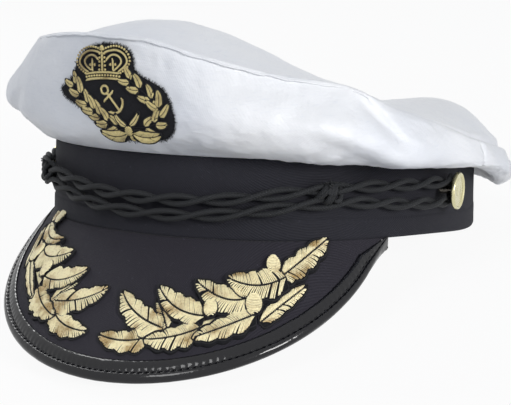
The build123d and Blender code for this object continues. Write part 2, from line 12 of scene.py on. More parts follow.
import bmesh
import bpy
import numpy as np
from mathutils import Matrix, Vector
from mathutils.bvhtree import BVHTree
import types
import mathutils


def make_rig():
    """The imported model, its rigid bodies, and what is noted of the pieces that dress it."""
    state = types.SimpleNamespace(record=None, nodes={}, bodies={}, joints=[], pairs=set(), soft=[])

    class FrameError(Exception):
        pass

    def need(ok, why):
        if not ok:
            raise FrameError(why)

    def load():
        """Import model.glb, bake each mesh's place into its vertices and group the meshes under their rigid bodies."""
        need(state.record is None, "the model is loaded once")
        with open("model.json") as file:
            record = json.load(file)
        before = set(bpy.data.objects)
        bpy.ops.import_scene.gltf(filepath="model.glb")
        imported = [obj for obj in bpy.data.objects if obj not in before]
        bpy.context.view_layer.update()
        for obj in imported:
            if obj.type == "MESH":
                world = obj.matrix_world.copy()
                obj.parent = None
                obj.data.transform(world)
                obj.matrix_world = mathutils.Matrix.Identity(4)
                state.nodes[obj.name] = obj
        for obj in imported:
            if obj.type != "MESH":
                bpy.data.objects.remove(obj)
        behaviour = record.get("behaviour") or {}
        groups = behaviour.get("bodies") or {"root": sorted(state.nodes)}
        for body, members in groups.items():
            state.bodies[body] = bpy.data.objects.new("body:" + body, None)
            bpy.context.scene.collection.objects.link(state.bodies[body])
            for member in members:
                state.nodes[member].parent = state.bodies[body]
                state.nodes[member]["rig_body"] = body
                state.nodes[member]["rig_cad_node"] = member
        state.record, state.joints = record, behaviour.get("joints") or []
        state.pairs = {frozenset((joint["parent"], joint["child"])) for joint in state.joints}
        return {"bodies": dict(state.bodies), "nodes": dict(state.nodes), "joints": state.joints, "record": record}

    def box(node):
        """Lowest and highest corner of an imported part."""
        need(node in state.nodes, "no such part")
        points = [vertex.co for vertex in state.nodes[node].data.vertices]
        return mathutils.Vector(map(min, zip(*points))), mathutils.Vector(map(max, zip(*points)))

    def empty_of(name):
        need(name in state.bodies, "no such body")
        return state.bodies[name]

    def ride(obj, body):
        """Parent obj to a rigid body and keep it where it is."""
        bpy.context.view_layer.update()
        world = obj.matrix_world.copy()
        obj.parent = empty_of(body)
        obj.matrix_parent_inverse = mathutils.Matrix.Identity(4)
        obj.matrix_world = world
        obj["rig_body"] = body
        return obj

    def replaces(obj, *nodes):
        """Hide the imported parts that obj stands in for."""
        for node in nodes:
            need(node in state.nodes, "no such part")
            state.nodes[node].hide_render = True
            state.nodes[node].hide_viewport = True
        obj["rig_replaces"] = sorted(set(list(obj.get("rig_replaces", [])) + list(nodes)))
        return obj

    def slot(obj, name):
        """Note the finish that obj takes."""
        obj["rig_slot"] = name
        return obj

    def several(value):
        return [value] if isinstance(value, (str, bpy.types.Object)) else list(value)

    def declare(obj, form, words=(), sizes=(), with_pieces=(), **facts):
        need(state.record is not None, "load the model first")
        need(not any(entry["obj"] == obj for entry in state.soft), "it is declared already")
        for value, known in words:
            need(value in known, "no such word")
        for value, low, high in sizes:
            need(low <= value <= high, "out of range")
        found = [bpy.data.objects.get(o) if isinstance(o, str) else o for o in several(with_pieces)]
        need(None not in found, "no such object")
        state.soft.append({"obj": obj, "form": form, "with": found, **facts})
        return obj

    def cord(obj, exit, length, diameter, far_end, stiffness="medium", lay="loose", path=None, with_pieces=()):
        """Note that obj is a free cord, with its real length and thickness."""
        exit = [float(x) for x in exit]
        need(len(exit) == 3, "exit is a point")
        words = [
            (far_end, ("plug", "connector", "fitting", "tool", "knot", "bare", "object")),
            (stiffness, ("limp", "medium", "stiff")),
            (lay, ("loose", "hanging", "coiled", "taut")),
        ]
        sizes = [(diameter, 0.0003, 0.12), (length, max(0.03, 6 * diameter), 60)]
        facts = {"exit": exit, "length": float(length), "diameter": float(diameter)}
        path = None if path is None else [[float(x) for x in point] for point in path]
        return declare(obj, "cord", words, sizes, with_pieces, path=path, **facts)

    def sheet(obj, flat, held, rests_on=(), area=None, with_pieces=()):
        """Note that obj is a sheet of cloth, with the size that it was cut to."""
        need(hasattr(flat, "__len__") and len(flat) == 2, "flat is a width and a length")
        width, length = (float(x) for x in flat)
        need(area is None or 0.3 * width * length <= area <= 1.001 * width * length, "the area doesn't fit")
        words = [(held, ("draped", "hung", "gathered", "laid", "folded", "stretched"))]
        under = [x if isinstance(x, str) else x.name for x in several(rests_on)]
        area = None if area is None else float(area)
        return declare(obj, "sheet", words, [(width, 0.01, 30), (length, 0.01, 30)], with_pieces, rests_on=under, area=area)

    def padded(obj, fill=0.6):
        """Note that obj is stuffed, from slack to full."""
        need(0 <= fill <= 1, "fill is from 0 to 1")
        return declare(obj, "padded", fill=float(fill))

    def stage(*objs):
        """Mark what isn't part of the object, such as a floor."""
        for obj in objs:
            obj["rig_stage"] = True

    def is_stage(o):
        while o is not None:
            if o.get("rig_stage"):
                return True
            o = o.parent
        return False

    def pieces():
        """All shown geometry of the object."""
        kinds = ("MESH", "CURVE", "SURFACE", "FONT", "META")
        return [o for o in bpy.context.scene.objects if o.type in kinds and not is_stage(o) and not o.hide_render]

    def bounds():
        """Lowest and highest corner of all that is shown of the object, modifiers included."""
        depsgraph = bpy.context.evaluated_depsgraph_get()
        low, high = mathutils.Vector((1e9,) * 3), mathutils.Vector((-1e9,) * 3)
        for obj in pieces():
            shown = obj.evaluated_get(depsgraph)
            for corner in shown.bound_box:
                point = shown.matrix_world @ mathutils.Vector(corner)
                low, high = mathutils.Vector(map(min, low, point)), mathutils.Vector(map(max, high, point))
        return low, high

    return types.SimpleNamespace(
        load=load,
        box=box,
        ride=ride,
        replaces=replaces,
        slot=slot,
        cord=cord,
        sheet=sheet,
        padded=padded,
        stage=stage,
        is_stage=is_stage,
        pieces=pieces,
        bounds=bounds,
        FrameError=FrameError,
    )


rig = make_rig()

bl_info = {
    "name": "Peaked Cap",
    "version": (1, 0, 0),
    "blender": (4, 5, 0),
    "location": "3D View > Sidebar > Peaked Cap",
    "description": "Builds a peaked cap's cloth, embroidery, cord and finishes round its frame",
    "category": "Object",
}

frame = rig.load()

# --- The cap's own frame ---
MM = 0.001
TILT = math.radians(11.7625)
END_RADIUS, END_CENTRE = 82.0, 22.0
SIDE_RADIUS, SIDE_CENTRE = 125.33, 37.33
SIDE_FROM = 59.5
BAND_HEIGHT = 31.0
BUTTON_Y, BUTTON_UP = -24.0, 17.0
VISOR_CENTRE_Y, VISOR_RADIUS, VISOR_SLOPE = -70.5, 75.5, 1.1
VISOR_CORNER = 63.9
SIDE_SEAM = 80.0
PER_DEGREE = 1.9        # millimetres round the cap for each degree of direction


def band_centre():
    """Where the centre of the band's foot lies, worked out from the band and a button."""
    low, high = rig.box("band_cover")
    x = (low.x + high.x) / 2
    low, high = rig.box("button_left_head")
    y, z = (low.y + high.y) / 2, (low.z + high.z) / 2
    s, c = math.sin(TILT) * MM, math.cos(TILT) * MM
    return np.array([x, y - BUTTON_Y * c - BUTTON_UP * s, z + BUTTON_Y * s - BUTTON_UP * c])


BAND_CENTRE = band_centre()
TURN = np.array([
    [1, 0, 0],
    [0, math.cos(TILT), math.sin(TILT)],
    [0, -math.sin(TILT), math.cos(TILT)],
])


def laid(points):
    """Points of the cap's own frame, in millimetres, as points of the scene in metres."""
    return np.asarray(points, float) * MM @ TURN.T + BAND_CENTRE


def own(points):
    """Points of the scene, in metres, as points of the cap's own frame in millimetres."""
    return (np.asarray(points, float) - BAND_CENTRE) @ TURN / MM


def beside_band(direction, out):
    """x and y of points out from the band's face; a direction is in degrees from the front."""
    direction = (np.asarray(direction, float) + 180) % 360 - 180
    turn = np.abs(direction)
    s, c = np.sin(np.radians(direction)), -np.cos(np.radians(direction))
    at_end = (turn < SIDE_FROM) | (turn > 180 - SIDE_FROM)
    radius = np.where(at_end, END_RADIUS, SIDE_RADIUS) + out
    x = radius * s - np.where(at_end, 0, SIDE_CENTRE) * np.sign(s)
    y = radius * c + np.where(at_end, END_CENTRE, 0) * np.sign(c)
    return x, y


def out_from_band(x, y):
    """Distance out from the band's face, for points in plan."""
    turn = np.degrees(np.arctan2(np.abs(x) + SIDE_CENTRE, np.abs(y)))
    end = np.hypot(x, np.abs(y) - END_CENTRE) - END_RADIUS
    side = np.hypot(np.abs(x) + SIDE_CENTRE, y) - SIDE_RADIUS
    return np.where(turn < SIDE_FROM, end, side)


# --- Curves and noise on plain arrays ---
def round_the_cap(direction, stations, values):
    """A value at each direction, eased between the stations round the cap without overshoot."""
    x = np.concatenate([np.array(stations[-3:], float) - 360, stations,
                        np.array(stations[:3], float) + 360])
    y = np.concatenate([values[-3:], values, values[:3]]).astype(float)
    step, rise = np.diff(x), np.diff(y) / np.diff(x)
    slope = np.zeros_like(y)
    same = rise[:-1] * rise[1:] > 0
    before, after = 2 * step[1:] + step[:-1], step[1:] + 2 * step[:-1]
    safe = np.where(same, rise[:-1], 1), np.where(same, rise[1:], 1)
    slope[1:-1] = np.where(same, (before + after) / (before / safe[0] + after / safe[1]), 0)
    i = np.clip(np.searchsorted(x, direction, side="right") - 1, 0, len(step) - 1)
    t = (direction - x[i]) / step[i]
    return (y[i] * (1 + 2 * t) * (1 - t) ** 2 + slope[i] * step[i] * t * (1 - t) ** 2
            + y[i + 1] * t * t * (3 - 2 * t) + slope[i + 1] * step[i] * t * t * (t - 1))


def eased(knots, t):
    """A clamped quadratic spline through control values, at t from 0 to 1."""
    knots = np.stack([np.broadcast_to(k, np.shape(t)) for k in knots])
    spans = len(knots) - 2
    place = np.clip(t, 0, 1) * spans
    i = np.minimum(place.astype(int), spans - 1)
    f = place - i
    a, b, c = (np.take_along_axis(knots, (i + n)[None], 0)[0] for n in range(3))
    start, end = np.where(i == 0, a, (a + b) / 2), np.where(i == spans - 1, c, (b + c) / 2)
    return start * (1 - f) ** 2 + 2 * b * f * (1 - f) + end * f * f


def ripple(seed, u, v, size, count=7):
    """Smooth unrepeating noise from -1 to 1 over a plane, with waves of about one size."""
    rng = np.random.default_rng(seed)
    total = np.zeros(np.broadcast(u, v).shape)
    for _ in range(count):
        angle, phase = rng.uniform(0, math.tau), rng.uniform(0, math.tau)
        length = size * rng.uniform(0.6, 1.7)
        wave = (u * math.cos(angle) + v * math.sin(angle)) * math.tau / length
        total = total + np.sin(wave + phase)
    return total / (0.75 * count)


def run_of(line):
    """Distance along a line to each of its points."""
    return np.concatenate([[0], np.cumsum(np.linalg.norm(np.diff(line, axis=0), axis=1))])


def bump(value, centre, width):
    """A soft hill of height 1 at a centre."""
    return np.exp(-(((value - centre) / width) ** 2))


# --- Meshes ---
def new_mesh(name, points, faces, edges=()):
    """A mesh object from points of the scene."""
    mesh = bpy.data.meshes.new(name)
    mesh.from_pydata(np.asarray(points).tolist(), list(edges), faces)
    mesh.validate()
    mesh.update()
    mesh.shade_smooth()
    made = bpy.data.objects.new(name, mesh)
    bpy.context.scene.collection.objects.link(made)
    return made


def grid_faces(rows, columns, closed_rows=False, closed_columns=False, start=0):
    """Faces of a grid of points that is stored row by row."""
    faces = []
    for i in range(rows if closed_rows else rows - 1):
        for j in range(columns if closed_columns else columns - 1):
            a, b = i * columns + j, i * columns + (j + 1) % columns
            c, d = (i + 1) % rows * columns + (j + 1) % columns, (i + 1) % rows * columns + j
            faces.append((start + a, start + b, start + c, start + d))
    return faces


def set_uv(made, uv):
    """One UV pair for each point of a mesh."""
    layer = made.data.uv_layers.new(name="along")
    corner = np.zeros(len(made.data.loops), int)
    made.data.loops.foreach_get("vertex_index", corner)
    layer.data.foreach_set("uv", np.asarray(uv, np.float32)[corner].ravel())


def outward(made):
    """Turns a closed mesh's faces outward."""
    work = bmesh.new()
    work.from_mesh(made.data)
    bmesh.ops.remove_doubles(work, verts=work.verts, dist=1e-7)
    bmesh.ops.recalc_face_normals(work, faces=work.faces)
    work.to_mesh(made.data)
    work.free()
    made.data.shade_smooth()
    return made


def layer_mesh(name, outer, inner, closed_columns=False):
    """A closed layer of cloth between two like grids of points, each (rows, columns, 3)."""
    rows, columns = outer.shape[:2]
    faces = grid_faces(rows, columns, closed_columns=closed_columns)
    back = [tuple(rows * columns + k for k in reversed(face)) for face in faces]
    rims = []
    for i, flip in ((0, False), (rows - 1, True)):
        for j in range(columns if closed_columns else columns - 1):
            a, b = i * columns + j, i * columns + (j + 1) % columns
            rim = (a, a + rows * columns, b + rows * columns, b)
            rims.append(rim[::-1] if flip else rim)
    if not closed_columns:
        for j, flip in ((0, True), (columns - 1, False)):
            for i in range(rows - 1):
                a, b = i * columns + j, (i + 1) * columns + j
                rim = (a, a + rows * columns, b + rows * columns, b)
                rims.append(rim[::-1] if flip else rim)
    points = np.concatenate([outer.reshape(-1, 3), inner.reshape(-1, 3)])
    made = new_mesh(name, laid(points), faces + back + rims)
    return outward(made)


def grid_normals(grid, closed_columns=False):
    """Unit normals of a grid of points, along rows crossed with columns."""
    across = np.gradient(grid, axis=1)
    if closed_columns:
        across = (np.roll(grid, -1, 1) - np.roll(grid, 1, 1)) / 2
    normal = np.cross(across, np.gradient(grid, axis=0))
    return normal / np.maximum(np.linalg.norm(normal, axis=2, keepdims=True), 1e-9)


def capped_tube(name, sections):
    """A tube with flat ends through sections, each a closed ring of points."""
    rows, columns = sections.shape[:2]
    faces = grid_faces(rows, columns, closed_columns=True)
    faces += [tuple(range(columns))[::-1], tuple(range((rows - 1) * columns, rows * columns))]
    return outward(new_mesh(name, laid(sections.reshape(-1, 3)), faces))


def along_frames(line, up=(0.0, 0.0, 1.0)):
    """Direction, side and upper normals along a line of points."""
    ahead = np.gradient(line, axis=0)
    ahead /= np.maximum(np.linalg.norm(ahead, axis=1, keepdims=True), 1e-9)
    side = np.cross(ahead, np.broadcast_to(up, ahead.shape))
    side /= np.maximum(np.linalg.norm(side, axis=1, keepdims=True), 1e-9)
    return ahead, side, np.cross(side, ahead)


def strand_rings(line, radius, sides=10, up=(0.0, 0.0, 1.0)):
    """Rings round a line; radius is one number or one for each point."""
    _, side, top = along_frames(line, up)
    angle = np.linspace(0, math.tau, sides, endpoint=False)
    radius = np.broadcast_to(radius, len(line))[:, None, None]
    ring = side[:, None] * np.cos(angle)[:, None] + top[:, None] * np.sin(angle)[:, None]
    return line[:, None] + ring * radius


def strands_mesh(name, lines, radii, sides=10, up=(0.0, 0.0, 1.0)):
    """Several capped round strands as one mesh, with UVs in millimetres round and along them."""
    points, faces, uv = [], [], []
    for line, radius in zip(lines, radii):
        start = sum(len(p) for p in points)
        rings = strand_rings(line, radius, sides, up)
        rows = len(line)
        points.append(rings.reshape(-1, 3))
        faces += [f[::-1] for f in grid_faces(rows, sides, closed_columns=True, start=start)]
        faces += [tuple(range(start, start + sides)),
                  tuple(range(start + (rows - 1) * sides, start + rows * sides))[::-1]]
        length = run_of(line)
        around = np.abs(np.linspace(-1, 1, sides,
                                    endpoint=False)) * math.pi * float(np.mean(radius))
        uv.append(np.stack(np.broadcast_arrays(around[None], length[:, None]), -1).reshape(-1, 2))
    made = new_mesh(name, laid(np.concatenate(points)), faces)
    set_uv(made, np.concatenate(uv))
    return made


def smooth_route(points, resolution):
    """Points along the smooth spline that a route's points control, in the scene."""
    curve = bpy.data.curves.new("route", "CURVE")
    curve.dimensions = "3D"
    curve.resolution_u = resolution
    spline = curve.splines.new("NURBS")
    spline.points.add(len(points) - 1)
    for place, point in zip(spline.points, points):
        place.co = (*point, 1.0)
    spline.order_u = 3
    spline.use_endpoint_u = True
    holder = bpy.data.objects.new("route", curve)
    mesh = bpy.data.meshes.new_from_object(holder)
    line = np.array([v.co for v in mesh.vertices], float)
    bpy.data.meshes.remove(mesh)
    bpy.data.curves.remove(curve)
    return line


def evenly(line, step):
    """The line again, with points about a step apart."""
    length = run_of(line)
    at = np.linspace(0, length[-1], max(2, round(length[-1] / step) + 1))
    return np.stack([np.interp(at, length, line[:, k]) for k in range(3)], 1)


def give(made, finish, slot, body, *nodes):
    """Finish, material slot, body and replaced nodes of a made piece."""
    made.data.materials.clear()
    made.data.materials.append(finish)
    if nodes:
        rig.replaces(made, *nodes)
    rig.slot(made, slot)
    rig.ride(made, body)
    return made


# --- Node expressions ---
class Term:
    """A number, vector or colour socket of a material, for use in expressions."""

    def __init__(self, finish, socket):
        self.finish, self.socket = finish, socket

    def _with(self, operation, *others):
        return self.finish.math(operation, self, *others)

    def __add__(self, other):
        return self._with("ADD", other)

    def __sub__(self, other):
        return self._with("SUBTRACT", other)

    def __rsub__(self, other):
        return self.finish.math("SUBTRACT", other, self)

    def __mul__(self, other):
        return self._with("MULTIPLY", other)

    __radd__, __rmul__ = __add__, __mul__


class Finish:
    """A material with one Principled BSDF, written as expressions."""

    def __init__(self, name, **constants):
        self.material = bpy.data.materials.new(name)
        self.material.use_nodes = True
        self.tree = self.material.node_tree
        self.shader = self.tree.nodes["Principled BSDF"]
        for socket, value in constants.items():
            self.shader.inputs[socket.replace("_", " ")].default_value = value

    def put(self, socket, value):
        """Sets or links one socket."""
        if isinstance(value, Term):
            self.tree.links.new(value.socket, socket)
        else:
            socket.default_value = value

    def node(self, kind, settings=None, output=0, **values):
        """Any node: its settings are set first, then its sockets. Gives one of its outputs."""
        made = self.tree.nodes.new(kind)
        for key, value in (settings or {}).items():
            setattr(made, key, value)
        for key, value in values.items():
            name = key[1:] if key[0] == "i" and key[1:].isdigit() else key
            socket = made.inputs[int(name) if name.isdigit() else name.replace("_", " ")]
            self.put(socket, value)
        return Term(self, made.outputs[output])

    def math(self, operation, *terms):
        return self.node("ShaderNodeMath", {"operation": operation},
                         **{f"i{k}": t for k, t in enumerate(terms)})

    def clamp(self, low, high, value):
        """0 below low, 1 above high and smooth between."""
        return self.node("ShaderNodeMapRange", {"interpolation_type": "SMOOTHSTEP"},
                         Value=value, From_Min=low, From_Max=high)

    def blend(self, factor, a, b):
        """Colour a where the factor is 0 and b where it is 1."""
        made = self.tree.nodes.new("ShaderNodeMix")
        made.data_type = "RGBA"
        for index, value in ((0, factor), (6, a), (7, b)):
            self.put(made.inputs[index], value)
        return Term(self, made.outputs[2])

    def place(self, turn=(0, 0, 0), scale=(1, 1, 1)):
        """Object coordinates, turned and scaled."""
        coordinates = self.node("ShaderNodeTexCoord", output=3)
        return self.node("ShaderNodeMapping", {"vector_type": "POINT"}, Vector=coordinates,
                         Rotation=turn, Scale=scale)

    def noise(self, vector, scale, detail=2.0, roughness=0.5):
        return self.node("ShaderNodeTexNoise", Vector=vector, Scale=scale, Detail=detail,
                         Roughness=roughness)

    def waves(self, vector, scale, direction="X"):
        """Stripes; their spacing is about 0.314 over the scale, in metres."""
        return self.node("ShaderNodeTexWave", {"bands_direction": direction}, output=1,
                         Vector=vector, Scale=scale)

    def done(self, colour, roughness, height, depth, **links):
        """Connects the shader. The height goes through a Bump node whose depth is in metres."""
        normal = self.node("ShaderNodeBump", Height=height, Distance=depth, Strength=1.0)
        links = {"Base Color": colour, "Roughness": roughness, "Normal": normal, **links}
        for socket, value in links.items():
            self.put(self.shader.inputs[socket], value)
        return self.material


def rgba(colour):
    return (*colour, 1.0)


def darker(colour, share):
    return (*(c * share for c in colour), 1.0)


_finishes = {}


def finish(name, make, *values):
    """One material of each name, made the first time it is asked for."""
    if name not in _finishes:
        _finishes[name] = make(name, *values)
    return _finishes[name]


def white_satin(name, colour, shade):
    """Thin white satin: fine diagonal weave, soft crinkle and a little sheen, with painted shade blended in soft
    random patches.
    """
    f = Finish(name, Sheen_Weight=0.25, Sheen_Roughness=0.4, Specular_IOR_Level=0.45,
               Anisotropic=0.3)
    weave = f.waves(f.place(turn=(0.5, 0.3, 0.7)), 520.0)
    cross = f.waves(f.place(turn=(0.2, 1.1, 0.1)), 430.0, direction="Y")
    crinkle = f.noise(f.place(scale=(1, 1, 1.8)), 95.0, 4.0, 0.55)
    slubs = f.noise(f.place(scale=(1, 1, 7)), 260.0, 2.0)
    # Painted shade: soft random patches that move the white about a third of the way to the shaded white
    painted_shade_patches = f.clamp(0.3, 0.75, f.noise(f.place(), 18.0, 3.0))
    base = f.blend(painted_shade_patches * 0.35, rgba(colour), rgba(shade))
    # The slubs also take a little of the painted shade colour
    base = f.blend(f.clamp(0.55, 0.8, slubs) * 0.18, base, rgba(shade))
    height = weave * 0.03 + cross * 0.02 + crinkle + slubs * 0.12
    return f.done(base, 0.34 + 0.2 * slubs, height, 0.0007)


def twill(name, colour, sheen, rib=700.0):
    """Dense black cloth with a fine diagonal rib and a faint bloom."""
    f = Finish(name, Sheen_Weight=sheen, Sheen_Roughness=0.5, Specular_IOR_Level=0.16)
    ribs = f.waves(f.place(turn=(0.0, 0.75, 0.6)), rib)
    threads = f.noise(f.place(), 1500.0, 2.0)
    cloudy = f.noise(f.place(), 40.0, 3.0)
    lint = f.clamp(0.71, 0.78, f.noise(f.place(), 900.0, 1.0))
    base = f.blend(0.25 * ribs + 0.35 * cloudy, darker(colour, 0.75), darker(colour, 1.45))
    base = f.blend(lint * 0.25, base, darker(colour, 4.0))
    height = ribs * 0.45 + threads * 0.4 + cloudy * 0.3
    return f.done(base, 0.62 + 0.2 * threads, height, 0.00022)


def patent(name, colour):
    """Glossy coated cloth with a fine grain under the shine and small handling marks."""
    f = Finish(name, Specular_IOR_Level=0.5, IOR=1.43)
    grain = f.noise(f.place(), 420.0, 2.0)
    dents = f.noise(f.place(), 140.0, 2.0, 0.4)
    marks = f.clamp(0.6, 0.8, f.noise(f.place(scale=(1, 3, 1)), 300.0, 3.0))
    base = f.blend(marks * 0.5, rgba(colour), darker(colour, 2.2))
    return f.done(base, 0.12 + 0.12 * marks, grain * 0.12 + dents * 0.9, 0.0004)


def satin_thread(name, bright, deep):
    """Pale gold rayon thread, each a little lighter or deeper, shaded in soft patches."""
    f = Finish(name, Specular_IOR_Level=0.6, Sheen_Weight=0.2, Anisotropic=0.5)
    patches = f.noise(f.place(), 110.0, 3.0)
    threads = f.noise(f.place(), 1300.0, 1.0)
    depth = f.clamp(0.48, 0.66, patches) * 0.75 + f.clamp(0.48, 0.8, threads) * 0.4
    base = f.blend(depth, rgba(bright), rgba(deep))
    twist = f.waves(f.place(turn=(0.4, 0.9, 0.2)), 1100.0)
    return f.done(base, 0.28 + 0.2 * threads, twist * 0.5 + threads * 0.5, 0.00012,
                  Metallic=0.10 + 0.2 * patches)


def plain_thread(name, colour):
    """Dull twisted sewing thread."""
    f = Finish(name, Specular_IOR_Level=0.35)
    twist = f.waves(f.place(turn=(0.5, 0.7, 0.3)), 900.0)
    fuzz = f.noise(f.place(), 1800.0, 2.0)
    base = f.blend(0.5 * fuzz + 0.3 * twist, darker(colour, 0.7), darker(colour, 1.6))
    return f.done(base, 0.7 + 0.2 * fuzz, twist * 0.6 + fuzz * 0.4, 0.0001)


def felt(name, colour):
    """Matt felt with short matted hairs."""
    f = Finish(name, Sheen_Weight=0.03, Sheen_Roughness=0.7, Specular_IOR_Level=0.08)
    hairs = f.noise(f.place(), 1300.0, 4.0, 0.7)
    clumps = f.noise(f.place(), 260.0, 3.0)
    base = f.blend(0.6 * hairs + 0.3 * clumps, darker(colour, 0.6), darker(colour, 2.2))
    return f.done(base, 0.85 + 0.1 * hairs, hairs * 0.8 + clumps * 0.5, 0.0004)


def braided_cord(name, colour):
    """Fine round braid: slanting plaits round and along each strand."""
    f = Finish(name, Sheen_Weight=0.04, Sheen_Roughness=0.45, Specular_IOR_Level=0.3)
    uv = f.node("ShaderNodeUVMap", {"uv_map": "along"})
    one = f.waves(f.node("ShaderNodeMapping", Vector=uv, Rotation=(0, 0, 0.75)), 0.42)
    two = f.waves(f.node("ShaderNodeMapping", Vector=uv, Rotation=(0, 0, -0.75)), 0.42)
    fuzz = f.noise(f.place(), 1500.0, 3.0)
    plait = one * 0.5 + two * 0.5
    base = f.blend(0.55 * plait + 0.3 * fuzz, darker(colour, 0.55), darker(colour, 1.7))
    return f.done(base, 0.55 + 0.25 * fuzz, plait * 0.9 + fuzz * 0.35, 0.00022)


def pale_brass(name, colour, worn):
    """Pale polished metal with fine brushing and dull patches."""
    f = Finish(name, Metallic=1.0)
    brushing = f.noise(f.place(scale=(1, 12, 1)), 400.0, 3.0)
    dull = f.clamp(0.45, 0.75, f.noise(f.place(), 330.0, 3.0))
    base = f.blend(dull * 0.6, rgba(colour), rgba(worn))
    return f.done(base, 0.2 + 0.25 * dull + 0.08 * brushing, brushing * 0.25 + dull * 0.35, 0.0001)


def leathercloth(name, colour):
    """Matt coated cloth with a pebbled grain and faint creases."""
    f = Finish(name, Specular_IOR_Level=0.4)
    cells = f.node("ShaderNodeTexVoronoi", {"feature": "DISTANCE_TO_EDGE"},
                   Vector=f.place(), Scale=900.0)
    grain = f.clamp(0.0, 0.25, cells)
    creases = f.noise(f.place(scale=(1, 1, 5)), 120.0, 3.0)
    worn = f.clamp(0.5, 0.8, f.noise(f.place(), 45.0, 3.0))
    base = f.blend(worn * 0.5, darker(colour, 0.9), darker(colour, 1.8))
    return f.done(base, 0.5 + 0.15 * worn, grain * 0.7 + creases * 0.5, 0.0002)


def plain_weave(name, colour, size=650.0, depth=0.0002):
    """Thin plain-woven cloth."""
    f = Finish(name, Sheen_Weight=0.1, Specular_IOR_Level=0.3)
    warp, weft = f.waves(f.place(), size), f.waves(f.place(), size, direction="Y")
    rumple = f.noise(f.place(), 60.0, 4.0)
    base = f.blend(0.3 * warp + 0.3 * weft + 0.3 * rumple, darker(colour, 0.82), rgba(colour))
    return f.done(base, 0.8 + 0.1 * rumple, warp * 0.2 + weft * 0.2 + rumple * 0.9, depth)


def moulded_board(name, colour):
    """Stiff plastic sheet with a fine matt grain and scuffs."""
    f = Finish(name, Specular_IOR_Level=0.5)
    grain = f.noise(f.place(), 1100.0, 3.0)
    scuffs = f.clamp(0.6, 0.75, f.noise(f.place(scale=(1, 6, 1)), 160.0, 4.0))
    base = f.blend(scuffs * 0.4 + grain * 0.15, rgba(colour), darker(colour, 1.12))
    return f.done(base, 0.45 + 0.2 * scuffs, grain * 0.5 + scuffs * 0.3, 0.0001)


# --- Threads and beads, made with Geometry Nodes ---
def empty_tree(name, inputs):
    """A Geometry Nodes tree with a geometry in and out, and named inputs."""
    tree = bpy.data.node_groups.new(name, "GeometryNodeTree")
    tree.interface.new_socket("Geometry", in_out="INPUT", socket_type="NodeSocketGeometry")
    for label, kind in inputs:
        tree.interface.new_socket(label, in_out="INPUT", socket_type=kind)
    tree.interface.new_socket("Geometry", in_out="OUTPUT", socket_type="NodeSocketGeometry")
    return tree, tree.nodes.new("NodeGroupInput"), tree.nodes.new("NodeGroupOutput")


def add_nodes(tree, *kinds):
    """New nodes of a Geometry Nodes tree."""
    return [tree.nodes.new("GeometryNode" + kind) for kind in kinds]


def thread_tree():
    """Round threads along the edges of a mesh, thinner toward their ends where the mesh says so."""
    tree, given, result = empty_tree("Threads",
                                     [("Thread Radius", "NodeSocketFloat"),
                                      ("Sides", "NodeSocketInt"),
                                                 ("Finish", "NodeSocketMaterial")])
    link = tree.links.new
    curve, radius, body = add_nodes(tree, "MeshToCurve", "SetCurveRadius", "CurveToMesh")
    share, section = add_nodes(tree, "InputNamedAttribute", "CurvePrimitiveCircle")
    realize, paint, smooth = add_nodes(tree, "RealizeInstances", "SetMaterial", "SetShadeSmooth")
    share.data_type = "FLOAT"
    share.inputs["Name"].default_value = "share"
    link(given.outputs["Geometry"], curve.inputs[0])
    link(curve.outputs[0], radius.inputs["Curve"])
    link(share.outputs["Attribute"], radius.inputs["Radius"])
    link(radius.outputs[0], body.inputs["Curve"])
    if "Scale" in body.inputs:
        link(share.outputs["Attribute"], body.inputs["Scale"])
    link(given.outputs["Sides"], section.inputs["Resolution"])
    link(given.outputs["Thread Radius"], section.inputs["Radius"])
    link(section.outputs["Curve"], body.inputs["Profile Curve"])
    body.inputs["Fill Caps"].default_value = True
    link(body.outputs[0], smooth.inputs[0])
    link(smooth.outputs[0], realize.inputs[0])
    link(realize.outputs[0], paint.inputs["Geometry"])
    link(given.outputs["Finish"], paint.inputs["Material"])
    link(paint.outputs[0], result.inputs[0])
    return tree


def bead_tree():
    """Small beads spaced along the edges of a mesh."""
    tree, given, result = empty_tree("Beads",
                                     [("Spacing", "NodeSocketFloat"),
                                      ("Bead Radius", "NodeSocketFloat"),
                                               ("Finish", "NodeSocketMaterial")])
    link = tree.links.new
    curve, even = add_nodes(tree, "MeshToCurve", "ResampleCurve")
    ball, spread = add_nodes(tree, "MeshUVSphere", "InstanceOnPoints")
    realize, paint, smooth = add_nodes(tree, "RealizeInstances", "SetMaterial", "SetShadeSmooth")
    even.mode = "LENGTH"
    ball.inputs["Segments"].default_value, ball.inputs["Rings"].default_value = 8, 5
    link(given.outputs["Geometry"], curve.inputs[0])
    link(curve.outputs[0], even.inputs["Curve"])
    link(given.outputs["Spacing"], even.inputs["Length"])
    link(given.outputs["Bead Radius"], ball.inputs["Radius"])
    link(even.outputs[0], spread.inputs["Points"])
    link(ball.outputs["Mesh"], spread.inputs["Instance"])
    link(spread.outputs[0], realize.inputs[0])
    link(realize.outputs[0], smooth.inputs[0])
    link(smooth.outputs[0], paint.inputs["Geometry"])
    link(given.outputs["Finish"], paint.inputs["Material"])
    link(paint.outputs[0], result.inputs[0])
    return tree


_trees = {}


